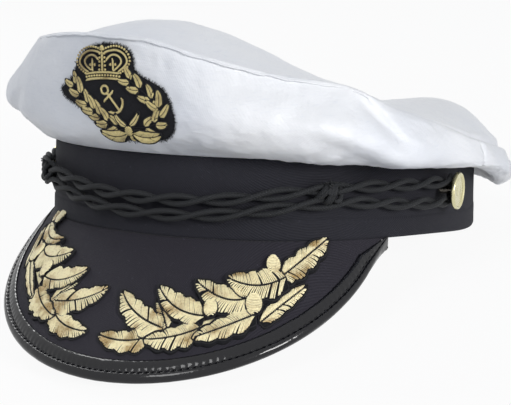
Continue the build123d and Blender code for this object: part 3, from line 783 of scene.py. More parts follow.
def grown(name, make_tree, lines, shares=None, **inputs):
    """A plain mesh of what a tree grows along lines of points in the cap's own frame."""
    if make_tree not in _trees:
        _trees[make_tree] = make_tree()
    tree = _trees[make_tree]
    points, edges = np.concatenate(lines), []
    start = 0
    for line in lines:
        edges += [(start + k, start + k + 1) for k in range(len(line) - 1)]
        start += len(line)
    host = new_mesh(name + "_paths", laid(points), [], edges)
    share = host.data.attributes.new("share", "FLOAT", "POINT")
    values = np.ones(len(points)) if shares is None else np.concatenate(shares)
    share.data.foreach_set("value", values.astype(np.float32))
    modifier = host.modifiers.new("Grow", "NODES")
    sockets = {s.name: s.identifier for s in tree.interface.items_tree if s.in_out == "INPUT"}
    modifier.node_group = tree
    for label, value in inputs.items():
        modifier[sockets[label.replace("_", " ")]] = value
    seen = host.evaluated_get(bpy.context.evaluated_depsgraph_get())
    mesh = bpy.data.meshes.new_from_object(seen)
    mesh.name = name
    made = bpy.data.objects.new(name, mesh)
    bpy.context.scene.collection.objects.link(made)
    host.modifiers.remove(modifier)
    old = host.data
    bpy.data.objects.remove(host)
    bpy.data.meshes.remove(old)
    return made


# --- What a user would change ---
def length_prop(name, description, default, low=0.0):
    return bpy.props.FloatProperty(
        name=name, description=description, default=default, min=low, unit="LENGTH", precision=5)


def colour_prop(name, description, default):
    return bpy.props.FloatVectorProperty(
        name=name, description=description, default=default, size=3, min=0.0, max=1.0,
        subtype="COLOR")


class PeakedCapSizes(bpy.types.PropertyGroup):
    """Sizes of the cap's cloth, cord and stitches."""

    crown_cloth: length_prop("Crown cloth", "Thickness of the satin of the crown", 0.0009)
    crown_folds: bpy.props.FloatProperty(name="Crown folds",
                                         description="How deep the crown's soft folds are",
                                         default=1.0, min=0.0, max=2.0, subtype="FACTOR")
    crown_puckers: length_prop(
        "Crown puckers", "Depth of the puckers along the crown's seams", 0.00045)
    band_hem: length_prop("Band hem", "Height of the hem along the band's foot", 0.0078)
    strand_radius: length_prop(
        "Cord strand", "Radius of each of the chin cord's two strands", 0.00105)
    strand_pitch: length_prop("Cord twist", "Length of one full twist of the chin cord", 0.034)
    satin_pitch: length_prop("Satin stitch", "Distance between the stitches of a leaf", 0.0007)
    satin_radius: length_prop("Gold thread", "Radius of the gold thread", 0.0003)
    binding_stitch: length_prop(
        "Binding stitch", "Distance between the stitches of the visor's binding", 0.0025)
    bead_radius: length_prop("Beads", "Radius of the badge's beads", 0.00045)


class PeakedCapColours(bpy.types.PropertyGroup):
    """Colours of the cap's finishes."""

    crown: colour_prop("Crown satin", "White satin of the crown", (0.85, 0.855, 0.87))
    # Painted shade: a shaded copy of the crown's white, blended into the satin in soft random patches and along its
    # slubs
    crown_shade: colour_prop("Crown shade", "Cooler white in the satin's hollows",
                             (0.62, 0.66, 0.76))
    band: colour_prop("Band cloth", "Black cloth of the band", (0.018, 0.018, 0.024))
    visor: colour_prop("Visor cloth", "Black cloth on the visor", (0.026, 0.024, 0.032))
    patent: colour_prop("Patent binding", "Glossy binding round the visor", (0.006, 0.006, 0.008))
    gold: colour_prop("Gold thread", "Bright side of the gold embroidery", (1.0, 0.90, 0.57))
    gold_deep: colour_prop("Deep gold", "Shaded side of the gold embroidery", (0.40, 0.24, 0.06))
    badge_gold: colour_prop("Badge gold", "Bright side of the badge's duller gold",
                            (0.66, 0.55, 0.24))
    badge_deep: colour_prop("Deep badge gold", "Shaded side of the badge's gold",
                            (0.22, 0.15, 0.05))
    felt: colour_prop("Badge felt", "Black felt under the badge", (0.010, 0.010, 0.012))
    cord: colour_prop("Chin cord", "Black braid of the chin cord", (0.011, 0.012, 0.014))
    button: colour_prop("Buttons", "Pale metal of the side buttons", (0.66, 0.62, 0.38))
    button_worn: colour_prop("Worn buttons", "Dull patches on the side buttons", (0.58, 0.52, 0.28))
    lining: colour_prop("Lining", "Lining inside the crown", (0.46, 0.46, 0.44))
    floor: colour_prop("Floor", "Pale floor of the stage", (0.93, 0.93, 0.94))


def sizes():
    return bpy.context.scene.peaked_cap_sizes


def colours():
    return bpy.context.scene.peaked_cap_colours


def gold():
    return finish("gold_satin_thread", satin_thread, colours().gold, colours().gold_deep)


def badge_gold():
    return finish("badge_gold_thread", satin_thread, colours().badge_gold, colours().badge_deep)


def dark_thread():
    return finish("dark_outline_thread", plain_thread, colours().felt)


# --- Camera, floor and lights ---
# Where the camera stands, in degrees round, above and rolled, and in metres from the band's foot
CAMERA_AROUND, CAMERA_ABOVE, CAMERA_ROLL, CAMERA_DISTANCE = 24.856, 17.757, -2.967, 0.615
LENS_MM, SENSOR_MM, LENS_SHIFT = 97.35, 36.0, (-0.0252, 0.0106)
FLOOR_HALF, FLOOR_WHITE = 6.0, 0.93
SKY_COLOUR, SKY_STRENGTH = (0.72, 0.83, 1.0, 1), 0.22
WHITE = (1, 1, 1)
# Lamps: name, place and size in metres, watts and colour
LAMPS = [
    ("key_lamp", (1.52, -0.66, 0.62), (0.5, 0.45), 17.5, (1.0, 0.99, 0.975)),
    ("front_lamp", (0.10, -1.15, 1.05), (0.5, 0.5), 5.4, WHITE),
    ("visor_lamp", (-0.50, 0.10, 0.82), (0.25, 0.15), 1.0, WHITE),
    ("edge_lamp", (-0.68, 0.36, 0.52), (0.2, 0.25), 1.1, WHITE),
]
LAMP_AIM = (0.0, 0.0, 0.05)


def make_camera():
    """The camera looks at the middle of the band's foot from the front, a little above."""
    around, above, roll = map(math.radians, (CAMERA_AROUND, CAMERA_ABOVE, CAMERA_ROLL))
    back = Vector((math.sin(around) * math.cos(above), -math.cos(around) * math.cos(above),
                   math.sin(above)))
    right = Vector((math.cos(around), math.sin(around), 0))
    up = back.cross(right)
    turned = right * math.cos(roll) + up * math.sin(roll)
    top = up * math.cos(roll) - right * math.sin(roll)
    lens = bpy.data.cameras.new("camera")
    lens.lens, lens.sensor_width = LENS_MM, SENSOR_MM
    lens.shift_x, lens.shift_y = LENS_SHIFT
    lens.clip_start, lens.clip_end = 0.02, 30
    camera = bpy.data.objects.new("camera", lens)
    place = Vector(BAND_CENTRE) + back * CAMERA_DISTANCE
    aim = Matrix((turned, top, back)).transposed().to_4x4()
    camera.matrix_world = Matrix.Translation(place) @ aim
    bpy.context.scene.collection.objects.link(camera)
    bpy.context.scene.camera = camera


def white_to_camera(tree, light, strength):
    """A node that mixes plain white into a surface or world where the camera or glass sees it."""
    path = tree.nodes.new("ShaderNodeLightPath")
    seen = tree.nodes.new("ShaderNodeMath")
    also = tree.nodes.new("ShaderNodeMath")
    seen.operation = also.operation = "MAXIMUM"
    tree.links.new(path.outputs["Is Camera Ray"], seen.inputs[0])
    tree.links.new(path.outputs["Is Glossy Ray"], seen.inputs[1])
    tree.links.new(seen.outputs[0], also.inputs[0])
    tree.links.new(path.outputs["Is Transmission Ray"], also.inputs[1])
    share = tree.nodes.new("ShaderNodeMath")
    share.operation = "MULTIPLY"
    share.inputs[1].default_value = strength
    tree.links.new(also.outputs[0], share.inputs[0])
    mix = tree.nodes.new("ShaderNodeMixShader")
    tree.links.new(share.outputs[0], mix.inputs[0])
    tree.links.new(light.outputs[0], mix.inputs[1])
    return mix


def floor_finish():
    """Pale floor that shows white, with a light shadow left on it."""
    material = bpy.data.materials.new("pale_floor")
    material.use_nodes = True
    tree = material.node_tree
    tree.nodes.clear()
    paint = tree.nodes.new("ShaderNodeBsdfDiffuse")
    paint.inputs["Color"].default_value = rgba(colours().floor)
    glow = tree.nodes.new("ShaderNodeEmission")
    mix = white_to_camera(tree, paint, FLOOR_WHITE)
    tree.links.new(glow.outputs[0], mix.inputs[2])
    output = tree.nodes.new("ShaderNodeOutputMaterial")
    tree.links.new(mix.outputs[0], output.inputs[0])
    return material


def add_lamp(name, place, size, watts, colour):
    """A large soft lamp aimed at the cap."""
    lamp = bpy.data.lights.new(name, "AREA")
    lamp.shape, lamp.energy, lamp.color = "RECTANGLE", watts, colour
    lamp.size, lamp.size_y = size
    holder = bpy.data.objects.new(name, lamp)
    holder.location = place
    holder.rotation_euler = (Vector(LAMP_AIM) - Vector(place)).to_track_quat("-Z", "Y").to_euler()
    bpy.context.scene.collection.objects.link(holder)


def make_stage():
    """Floor, white surroundings and four soft lamps."""
    corners = [(x * FLOOR_HALF, y * FLOOR_HALF, 0) for x, y in ((-1, -1), (1, -1), (1, 1), (-1, 1))]
    floor = new_mesh("floor", corners, [(0, 1, 2, 3)])
    floor.data.materials.append(floor_finish())
    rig.stage(floor)
    world = bpy.data.worlds.new("surroundings")
    world.use_nodes = True
    tree = world.node_tree
    dim = tree.nodes["Background"]
    dim.inputs[0].default_value, dim.inputs[1].default_value = SKY_COLOUR, SKY_STRENGTH
    bright = tree.nodes.new("ShaderNodeBackground")
    bright.inputs[0].default_value, bright.inputs[1].default_value = (1, 1, 1, 1), 1.0
    mix = white_to_camera(tree, dim, 1.0)
    tree.links.new(bright.outputs[0], mix.inputs[2])
    tree.links.new(mix.outputs[0], tree.nodes["World Output"].inputs[0])
    bpy.context.scene.world = world
    for lamp in LAMPS:
        add_lamp(*lamp)
    bpy.context.scene.view_settings.view_transform = "Standard"


# --- Chin cord ---
UPPER_ROUTE = [(71.7, 5.2, 20.9), (64.0, 4.0, 20.8), (45.0, 6.5, 21.0), (15.0, 6.5, 14.2)]
LOWER_ROUTE = [(71.7, 5.2, 13.0), (64.0, 4.0, 13.6), (45.0, 6.5, 16.0), (15.0, 6.5, 8.4)]
LOOP_X, LOOP_RADIUS, LOOP_LEAD = 89.78, 4.1, 7.0
KNOT_ANGLE, KNOT_OUT, KNOT_UP = 45.0, 4.3, 18.5
CORD_DIAMETER = 0.0042
# Lengths of the two lines as made, in metres
UPPER_LENGTH, LOWER_LENGTH = 0.2963, 0.2689
# How far the strands lie from the middle of their line, across it and out from the band
STRAND_ACROSS, STRAND_OUT = 1.55, 1.05
TUFT_ENDS = 7


def cord_route(stations, loop_side, with_loop):
    """Control points of one line of the cord, from the wearer's left button to the right one."""
    height = BUTTON_UP + loop_side * LOOP_RADIUS
    left = [(LOOP_X, BUTTON_Y, height), (LOOP_X, BUTTON_Y - LOOP_LEAD, height)]
    if with_loop:
        rear, other = BUTTON_Y + LOOP_RADIUS, BUTTON_UP - loop_side * LOOP_RADIUS
        left = [(LOOP_X, BUTTON_Y, other), (LOOP_X, rear, other), (LOOP_X, rear, height)] + left
    for direction, out, up in stations:
        x, y = beside_band(direction, out)
        left.append((float(x), float(y), up))
    return np.array(left + [(-x, y, z) for x, y, z in reversed(left)])


def outward_of_band(line):
    """Level unit vectors pointing out from the band at points in the cap's own frame."""
    step = 0.2
    x, y = line[:, 0], line[:, 1]
    nx = out_from_band(x + step, y) - out_from_band(x - step, y)
    ny = out_from_band(x, y + step) - out_from_band(x, y - step)
    level = np.stack([nx, ny, np.zeros_like(nx)], 1)
    return level / np.linalg.norm(level, axis=1, keepdims=True)


def twisted_line(name, route, start_turn):
    """Two loosely twisted strands along a route, and the line that they follow."""
    line = evenly(smooth_route(laid(route), 40), 0.0004)
    middle = own(line)
    _, side, out = along_frames(middle, outward_of_band(middle))
    length = run_of(middle)
    turns = length / (sizes().strand_pitch / MM)
    turn = turns * math.tau + start_turn + 0.9 * np.sin(length / 31.0)
    radius = sizes().strand_radius / MM
    ease = np.clip(np.minimum(length, length[-1] - length) / 6.0, 0.35, 1)[:, None]
    strands = []
    for half in (0, math.pi):
        across = np.cos(turn + half)[:, None] * side * STRAND_ACROSS * ease
        strands.append(middle + (across + np.sin(turn + half)[:, None] * out * STRAND_OUT))
    made = strands_mesh(name, strands, [radius, radius], 12, up=outward_of_band(middle))
    return outward(made), line


def knot(name, side):
    """A wrapped knot round both lines of the cord, with short loose ends."""
    rng = np.random.default_rng(5 + side)
    direction = math.radians(side * KNOT_ANGLE)
    x, y = beside_band(side * KNOT_ANGLE, KNOT_OUT)
    centre = np.array([float(x), float(y), KNOT_UP])
    out = np.array([math.sin(direction), -math.cos(direction), 0])
    ahead = np.array([math.cos(direction), math.sin(direction), 0])
    up = np.array([0, 0, 1.0])
    radius = sizes().strand_radius / MM * 0.92
    t = np.linspace(0, 1, 240)[:, None]
    turn = math.tau * t
    loops = (centre + ahead * (4.3 * np.sin(turn) + 1.3 * np.sin(2 * turn))
             + up * (3.0 * np.sin(2 * turn + 0.6) + 0.4)
             + out * (1.5 * np.cos(3 * turn + 0.4) + 0.4))
    wrap = (centre + ahead * (2.6 * (t - 0.5) + 0.9 * np.sin(2.2 * turn))
            + out * 2.2 * np.cos(2.2 * turn)
            + up * 3.3 * np.sin(2.2 * turn))
    lines, radii = [loops, wrap], [radius, radius]
    for _ in range(TUFT_ENDS):
        start = centre + out * 1.8 + ahead * rng.uniform(-2.8, 2.4) + up * rng.uniform(2.0, 3.8)
        lean = (ahead * rng.uniform(-0.9, 0.9) + out * rng.uniform(0.25, 0.6)
                + up * rng.uniform(0.5, 0.9))
        s = np.linspace(0, 1, 8)[:, None]
        bent = out * rng.uniform(-0.3, 0.6) + up * rng.uniform(-0.8, -0.1)
        lines.append(start + lean * s * rng.uniform(2.4, 3.6) + bent * s * s * 1.6)
        radii.append(np.linspace(0.42, 0.20, 8))
    made = strands_mesh(name, lines, radii, 10, up=(0.31, 0.17, 0.93))
    return outward(made)


def make_chin_cord():
    """The two twisted lines of the chin cord and their two knots."""
    braid = finish("black_braid", braided_cord, colours().cord)
    knots = []
    for side, word in ((1, "left"), (-1, "right")):
        made = knot(f"knot_{word}", side)
        knots.append(give(made, braid, "black_cord", "chin_cord", f"chin_cord_knot_{word}"))
    for word, stations, loop_side, loop, turn, length in (("upper", UPPER_ROUTE, 1, True, 0.4,
                                                           UPPER_LENGTH),
                                                          ("lower", LOWER_ROUTE, -1, False, 2.1,
                                                           LOWER_LENGTH)):
        route = cord_route(stations, loop_side, loop)
        made, line = twisted_line(f"cord_{word}", route, turn)
        give(made, braid, "black_cord", "chin_cord", f"chin_cord_{word}")
        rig.cord(made, exit=line[0], length=length, diameter=CORD_DIAMETER, far_end="object",
                stiffness="limp", lay="taut", path=line[::5].tolist() + [line[-1].tolist()],
                with_pieces=knots if loop else ())


# --- Band ---
# Where each side of the band's foot hangs out, in degrees, how widely, and how far out and down
FLARE_AT, FLARE_WIDTH, FLARE_OUT, FLARE_DOWN = 97, 17, 1.2, 2.4


def swept_band(name, profile, columns=720, waver=None, flare=False):
    """A closed section of (out, height) points swept round the cap.

    waver moves it in and out, and flare lets the foot of each side hang out and down.
    """
    direction = np.linspace(-180, 180, columns, endpoint=False)[None]
    out, up = np.array(profile, float).T[:, :, None]
    shift = 0 if waver is None else waver(direction, up)
    x, y = beside_band(direction, out + shift)
    grid = np.stack(np.broadcast_arrays(x, y, up + 0 * direction), -1)
    if flare:
        foot = np.clip(1 - up / BAND_HEIGHT, 0, 1) ** 1.6
        corner = bump(np.abs(direction), FLARE_AT, FLARE_WIDTH) * foot
        x, y = beside_band(direction, out + shift + FLARE_OUT * corner)
        grid = np.stack(np.broadcast_arrays(x, y, up - FLARE_DOWN * corner), -1)
    faces = grid_faces(len(profile), columns, closed_rows=True, closed_columns=True)
    return outward(new_mesh(name, laid(grid.reshape(-1, 3)), faces)), grid


def sheet_sizes(grid):
    """Longest row, longest column and area of a grid of points, in metres and square metres."""
    across = np.linalg.norm(np.diff(grid, axis=1), axis=2)
    down = np.linalg.norm(np.diff(grid, axis=0), axis=2)
    area = (across[:-1] + across[1:]) / 2 * (down[:, :-1] + down[:, 1:]) / 2
    return across.sum(1).max() * MM, down.sum(0).max() * MM, area.sum() * MM * MM


def declare_cloth(made, grid, rests_on, cut=None):
    """Declares a sewn piece of cloth by the size that its grid measures, or by its cut."""
    row, column, area = sheet_sizes(grid)
    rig.sheet(made, flat=cut or (row, column), held="stretched", rests_on=rests_on, area=area)


def make_band():
    """Band cover with its hem, sweatband with its stitched top edge, and the stiffener between."""
    hem = sizes().band_hem / MM
    face = [(-0.35, 0.0), (-0.05, 0.12), (0.12, 0.45), (0.16, 1.2)]
    face += [(0.16, z) for z in np.linspace(2.0, hem - 1.1, 6)]
    face += [(0.13, hem - 0.5), (-0.14, hem - 0.1), (-0.16, hem + 0.25), (0.0, hem + 0.9)]
    face += [(0.0, z) for z in np.linspace(hem + 1.8, 29.4, 16)]
    face += [(-0.06, 30.3), (-0.25, 30.8), (-0.5, 30.95), (-0.72, 30.7), (-0.8, 30.0)]
    back = [(-0.8, z) for z in np.linspace(28.0, 1.2, 8)] + [(-0.74, 0.3), (-0.6, 0.04)]

    def waver(direction, up):
        along = direction * PER_DEGREE
        cloth = 0.10 * ripple(3, along, up * 2.5, 34) + 0.05 * ripple(4, along, up, 9)
        seam = -0.22 * bump(np.abs(direction) - 180, 0, 0.45)
        return np.where(up < 0.5, 0.3, 1) * (cloth + seam)

    made, grid = swept_band("band_cloth", face + back, waver=waver, flare=True)
    cloth = finish("band_twill", twill, colours().band, 0.02)
    give(made, cloth, "black_cloth", "cap", "band_cover")
    declare_cloth(made, grid[:len(face)], ["band_stiffener"])

    edge = [(-3.72, 0.3), (-3.7, 1.5)] + [(-3.7, z) for z in np.linspace(4, 24, 7)]
    edge += [(-3.62, 26.6), (-3.7, 27.6), (-4.1, 28.0), (-4.6, 27.95), (-4.95, 27.4), (-4.95, 26.4)]
    edge += [(-4.82, 25.5), (-4.74, 25.0), (-4.86, 24.4)] + [(-4.9, z)
                                                             for z in np.linspace(22, 4, 8)]
    edge += [(-4.88, 1.2), (-4.7, 0.3), (-4.3, 0.05), (-3.9, 0.08)]

    def slack(direction, up):
        along = direction * PER_DEGREE
        return 0.12 * ripple(8, along, up * 1.5, 26) + 0.03 * ripple(9, along, up, 6)

    made, grid = swept_band("sweatband_vinyl", edge, 600, slack)
    vinyl = finish("sweatband_vinyl", leathercloth, (0.018, 0.017, 0.018))
    give(made, vinyl, "black_vinyl", "cap", "sweatband")
    declare_cloth(made, grid[12:26], ["band_stiffener"])
    stitches = []
    for direction in np.arange(-180, 180, 1.35):
        d = direction + np.linspace(0, 0.9, 4)
        x, y = beside_band(d, -4.86 + np.array([0.12, -0.16, -0.16, 0.12]))
        stitches.append(np.stack([x, y, np.full(4, 25.0)], 1))
    thread = grown("sweatband_stitches", thread_tree, stitches, Thread_Radius=0.00018, Sides=5,
                   Finish=dark_thread())
    give(thread, dark_thread(), "black_vinyl", "cap")
    finish_node("band_stiffener", finish("stiffener_sheet", moulded_board, (0.05, 0.05, 0.055)))


def finish_node(node, material):
    """Gives a frame node a finish without touching its mesh."""
    slots = frame["nodes"][node].material_slots
    for slot in slots:
        slot.material = material
    if not slots:
        frame["nodes"][node].data.materials.append(material)


# --- Crown ---
# How far the crown leans forward for each millimetre above the band
CROWN_LEAN = 0.06
# The top's middle, its height without hills, and about how far it reaches from there
TOP_MIDDLE_Y, TOP_HEIGHT, TOP_REACH = 4, 45, 95
# The cut of the top against its width and depth in plan, for the curve of the cloth
TOP_EASE_WIDE, TOP_EASE_DEEP = 1.03, 1.05
# The foam pad: half its reach round the cap in degrees, and the shares of the wall it spans
FOAM_REACH, FOAM_FOOT, FOAM_HEAD = 32, 0.14, 0.93
# Stations round the cap: direction from the front, lowest height of the cloth where it turns
# under, how far out it bellies and at what height, and how far out the top seam lies and at what
# height.
CROWN_STATIONS = [
    (-180, 27, 19, 36, 13, 45), (-150, 28, 19, 41, 12, 52), (-120, 31, 20, 46, 9, 61),
    (-90, 34, 21, 49, 6, 68),
    (-65, 36.5, 21, 51, 5, 70), (-40, 35.5, 18, 53, 9, 73), (-20, 33.3, 15, 52, 11, 75),
    (0, 32.8, 14, 51, 14, 74),
    (15, 32.2, 15.5, 48, 14.5, 68), (32, 30.8, 16.5, 44, 14, 62), (45, 29, 17.5, 41, 14, 59.5),
    (58, 27.6, 18.5, 38, 14, 51.5),
    (70, 26.8, 18.5, 34, 13.5, 44.5), (80, 26, 18.5, 29, 13.5, 38.5),
    (95, 20.5, 17.2, 25, 11.5, 33.5),
    (110, 12.5, 17.2, 20, 10.5, 31), (135, 12, 18, 22, 12, 34), (160, 21, 19, 30, 13, 39),
]
# Hills of the top: x, y, how far they reach each way, and height
TOP_HILLS = [(-19, -70, 68, 60, 36), (78, 38, 34, 46, 9), (62, -76, 20, 20, 5),
             (-70, 20, 60, 60, 8)]
# Folds of the wall: from (direction, height) to (direction, height), rise, and reach above and
# below the fold
WALL_FOLDS = [
    ((8, 49), (46, 39), 5.0, 10.0, 8.0),
    ((36, 44), (67, 32), 5.2, 10.0, 3.6),
    ((48, 56), (60, 37), -2.4, 2.4, 4.2),
    ((70, 44), (84, 31), 1.2, 3.0, 3.0),
    ((-64, 36), (-40, 50), -1.6, 3.0, 4.0),
    ((-58, 30), (-20, 38), 1.0, 5.0, 4.0),
    ((98, 33), (122, 22), 1.2, 4.0, 4.0),
    ((128, 32), (150, 24), -1.2, 4.0, 3.0),
    ((155, 42), (178, 27), 1.6, 6.0, 4.0),
    ((-176, 44), (-150, 28), 1.8, 6.0, 4.0),
    ((-140, 56), (-118, 34), -1.5, 4.0, 5.0),
    ((-112, 34), (-84, 44), 1.5, 7.0, 4.0),
]


def crown_sizes(direction):
    """Values between the stations: low, belly out, belly up, seam out, seam up."""
    direction = (np.asarray(direction, float) + 180) % 360 - 180
    places = [row[0] for row in CROWN_STATIONS]
    return [round_the_cap(direction, places, [row[k] for row in CROWN_STATIONS])
            for k in range(1, 6)]


def crown_wall(direction, v):
    """Crown wall from the band's top edge, v = 0, to the top seam, v = 1."""
    low, belly_out, belly_up, seam_out, seam_up = crown_sizes(direction)
    out = eased([0 * low, 0.42 * belly_out, 0.93 * belly_out, 1.02 * belly_out,
                 0.35 * belly_out + 0.65 * seam_out + 1.0, seam_out], v)
    up = eased([0 * low + BAND_HEIGHT - 0.3, low, low + 0.33 * (belly_up - low), belly_up,
                belly_up + 0.6 * (seam_up - belly_up), seam_up], v)
    x, y = beside_band(direction, out)
    return np.stack([x, y - CROWN_LEAN * (up - BAND_HEIGHT), up], -1)


def crown_top(direction, r):
    """Top of the crown from its middle, r = 0, to the seam, r = 1."""
    _, _, _, out, up = crown_sizes(direction)
    x, y = beside_band(direction, out)
    y = y - CROWN_LEAN * (up - BAND_HEIGHT)
    x, y = x * r, TOP_MIDDLE_Y + (y - TOP_MIDDLE_Y) * r
    hills = (rise * bump(x, cx, sx) * bump(y, cy, sy) for cx, cy, sx, sy, rise in TOP_HILLS)
    height = TOP_HEIGHT + sum(hills)
    return np.stack([x, y, up + (height - up) * (1 - r ** 7)], -1)


def fold(direction, up, start, end, rise, above, below):
    """A soft ridge between two places on the wall that falls away at its own rate on each side."""
    a, a0, a1 = direction * PER_DEGREE, start[0] * PER_DEGREE, end[0] * PER_DEGREE
    length = math.hypot(a1 - a0, end[1] - start[1])
    t = ((a - a0) * (a1 - a0) + (up - start[1]) * (end[1] - start[1])) / length ** 2
    off = ((up - start[1]) * (a1 - a0) - (a - a0) * (end[1] - start[1])) / length
    off = off + 1.3 * np.sin(t * 5.0 + start[0])
    ends = np.clip((t + 0.15) / 0.45, 0, 1) * np.clip((1.15 - t) / 0.45, 0, 1)
    across = np.exp(-(off / np.where(off > 0, above, below)) ** 2)
    return rise * across * ends * ends * (3 - 2 * ends)


def wall_relief(direction, v, points):
    """How far the cloth of the wall stands out of its smooth shape."""
    turn = (direction + 180) % 360 - 180
    up = points[..., 2]
    along = turn * PER_DEGREE
    relief = sum(fold(turn, up, *f) for f in WALL_FOLDS) * sizes().crown_folds
    plain = 1 - 0.75 * bump(turn, -8, 20) * np.clip((up - 33) / 12, 0, 1)
    height = v * 52
    relief = relief + 0.75 * plain * ripple(21, along, height * 1.2, 40)
    relief = relief + 0.28 * plain * ripple(22, along, height, 15)
    relief = relief + 0.10 * ripple(23, along, height, 6.0)
    pucker = ripple(24, along, height * 0.25, 7.0, 9) * sizes().crown_puckers / MM
    to_seam, to_band = (1 - v) * 40, v * 40
    relief = relief + pucker * (np.exp(-to_seam / 4.5) + 1.2 * np.exp(-to_band / 6.0))
    for seam in (SIDE_SEAM, -SIDE_SEAM):
        gap = np.abs(turn - seam) * 2.1
        relief = relief + 0.35 * ripple(25, height, along * 0.3, 6.5) * np.exp(-gap / 3.5)
        relief = relief - 0.75 * np.exp(-(gap / 1.1) ** 2)
    relief = relief * (0.06
                       + 0.94 * np.clip(to_seam / 3.0, 0, 1)) - 0.35 * np.exp(-(to_seam / 1.2) ** 2)
    return relief * np.clip(v * 14, 0, 1)


def crown_wall_relieved(direction, v):
    smooth = crown_wall(direction, v)
    normal = grid_normals(smooth)
    return smooth + normal * wall_relief(direction, v, smooth)[..., None]


def wall_grid(start, end, columns, rows=72):
    """Points of the wall between two directions, and the inner face of its cloth."""
    direction, v = np.meshgrid(np.linspace(start, end, columns), np.linspace(0, 1, rows) ** 0.93)
    outer = crown_wall_relieved(direction, v)
    return outer, outer - grid_normals(outer) * sizes().crown_cloth / MM


def make_crown():
    """Front, back and top panels of white satin, the foam behind the front, and the lining."""
    satin = finish("white_satin", white_satin, colours().crown, colours().crown_shade)
    front, front_in = wall_grid(-SIDE_SEAM, SIDE_SEAM, 380)
    made = layer_mesh("crown_front", front, front_in)
    give(made, satin, "white_satin", "cap", "crown_front_panel")
    declare_cloth(made, front, ["band_cloth", "crown_front_foam"])
    back, back_in = wall_grid(SIDE_SEAM, 360 - SIDE_SEAM, 420)
    made = layer_mesh("crown_back", back, back_in)
    give(made, satin, "white_satin", "cap", "crown_back_panel")
    declare_cloth(made, back, ["band_cloth", "crown_front"])

    direction, r = np.meshgrid(np.linspace(-180, 180, 540, endpoint=False),
                               1 - np.linspace(0, 1, 84) ** 1.15)
    smooth = crown_top(direction, r)
    x, y = smooth[..., 0], smooth[..., 1]
    to_seam = (1 - r) * TOP_REACH
    pucker = ripple(31, direction * PER_DEGREE, to_seam * 0.3, 8.0, 9) * sizes().crown_puckers / MM
    relief = 0.9 * ripple(32, x, y, 75) + 0.3 * ripple(33, x, y, 26) + 0.08 * ripple(34, x, y, 8)
    relief = relief * np.clip(to_seam / 9, 0, 1) + pucker * np.exp(-to_seam / 6.5)
    relief = relief + 0.55 * np.exp(-((to_seam
                                       - 2.2) / 1.6) ** 2) - 0.9 * np.exp(-(to_seam / 1.1) ** 2)
    normal = grid_normals(smooth, True)
    normal[r < 0.03] = (0, 0, 1)
    top = smooth + normal * relief[..., None]
    top_in = top - normal * sizes().crown_cloth / MM
    made = layer_mesh("crown_top", top, top_in, closed_columns=True)
    give(made, satin, "white_satin", "cap", "crown_top_panel")
    cut = (np.ptp(top[..., 0]) * MM * TOP_EASE_WIDE, np.ptp(top[..., 1]) * MM * TOP_EASE_DEEP)
    declare_cloth(made, top, ["crown_front", "crown_back"], cut)

    direction, v = np.meshgrid(np.linspace(-FOAM_REACH, FOAM_REACH, 120),
                               np.linspace(FOAM_FOOT, FOAM_HEAD, 44))
    smooth = crown_wall(direction, v)
    normal = grid_normals(smooth)
    to_end = (FOAM_REACH - np.abs(direction)) * PER_DEGREE
    to_edge = np.minimum(np.minimum(v - FOAM_FOOT, FOAM_HEAD - v) * 50, to_end)
    rounded = np.clip(to_edge / 3, 0, 1)
    thick = 0.5 + 2.4 * np.sqrt(1 - (1 - rounded) ** 2)
    face = smooth - normal * 1.9
    made = layer_mesh("crown_foam", face, face - normal * thick[..., None])
    give(made, finish("foam_pad", plain_weave, (0.62, 0.58, 0.46), 420.0, 0.0006), "foam", "cap",
         "crown_front_foam")
    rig.padded(made, fill=1.0)

    cloth = finish("lining_cloth", plain_weave, colours().lining)
    direction, v = np.meshgrid(np.linspace(-180, 180, 360, endpoint=False),
                               np.linspace(0.06, 0.985, 48))
    smooth = crown_wall(direction, v)
    normal = grid_normals(smooth, True)
    turn = np.abs((direction + 180) % 360 - 180)
    inside = 2.2 + 3.2 * np.clip((40 - turn) / 10, 0, 1)
    inside = inside + 0.5 * ripple(41, direction * PER_DEGREE, v * 50, 18)
    wall = smooth - normal * inside[..., None]
    wall[..., 2] -= 4.0 * v ** 8
    x, y = beside_band(direction[:1], -2.35)
    rows = [np.stack([x[0], y[0], np.full(360, z)], -1) for z in (24.0, 27.0, 30.0)]
    x, y = beside_band(direction[:1], -1.2)
    rows.append(np.stack([x[0], y[0], np.full(360, 32.0)], -1))
    grid = np.concatenate([np.array(rows), wall])
    made = layer_mesh("crown_lining_wall", grid, grid - grid_normals(grid, True) * 0.4,
                      closed_columns=True)
    give(made, cloth, "lining", "cap", "crown_side_lining")
    declare_cloth(made, grid, ["sweatband_vinyl"])
    direction, r = np.meshgrid(np.linspace(-180, 180, 300, endpoint=False),
                               1 - np.linspace(0, 1, 40))
    smooth = crown_top(direction, 0.975 * r)
    smooth[..., 2] -= 2.6 + 0.5 * ripple(42, smooth[..., 0], smooth[..., 1], 34)
    thin = smooth - np.array([0, 0, 0.4])
    made = layer_mesh("crown_lining_top", smooth, thin, closed_columns=True)
    give(made, cloth, "lining", "cap", "crown_top_lining")
    declare_cloth(made, smooth, ["crown_lining_wall"], cut)
    return front


# --- Visor ---
STEEP = math.hypot(1, VISOR_SLOPE)


def visor_edge(t):
    """The visor's edge in plan and its outward direction; t is -1 at one corner, 1 at the other."""
    t = np.asarray(t, float)
    corner = beside_band(VISOR_CORNER, 0.3)[1] - VISOR_CENTRE_Y
    arc = math.pi / 2 * VISOR_RADIUS
    s = t * (arc + corner)
    turn = np.clip(s, -arc, arc) / VISOR_RADIUS
    nx, ny = np.sin(turn), -np.cos(turn)
    beyond = np.maximum(np.abs(s) - arc, 0)
    return VISOR_RADIUS * nx, VISOR_CENTRE_Y + VISOR_RADIUS * ny + beyond, nx, ny


def visor_up(x, y, lift):
    """Height of the visor's sloping face in plan, raised by a thickness square to it."""
    return lift * STEEP - VISOR_SLOPE * out_from_band(x, y)


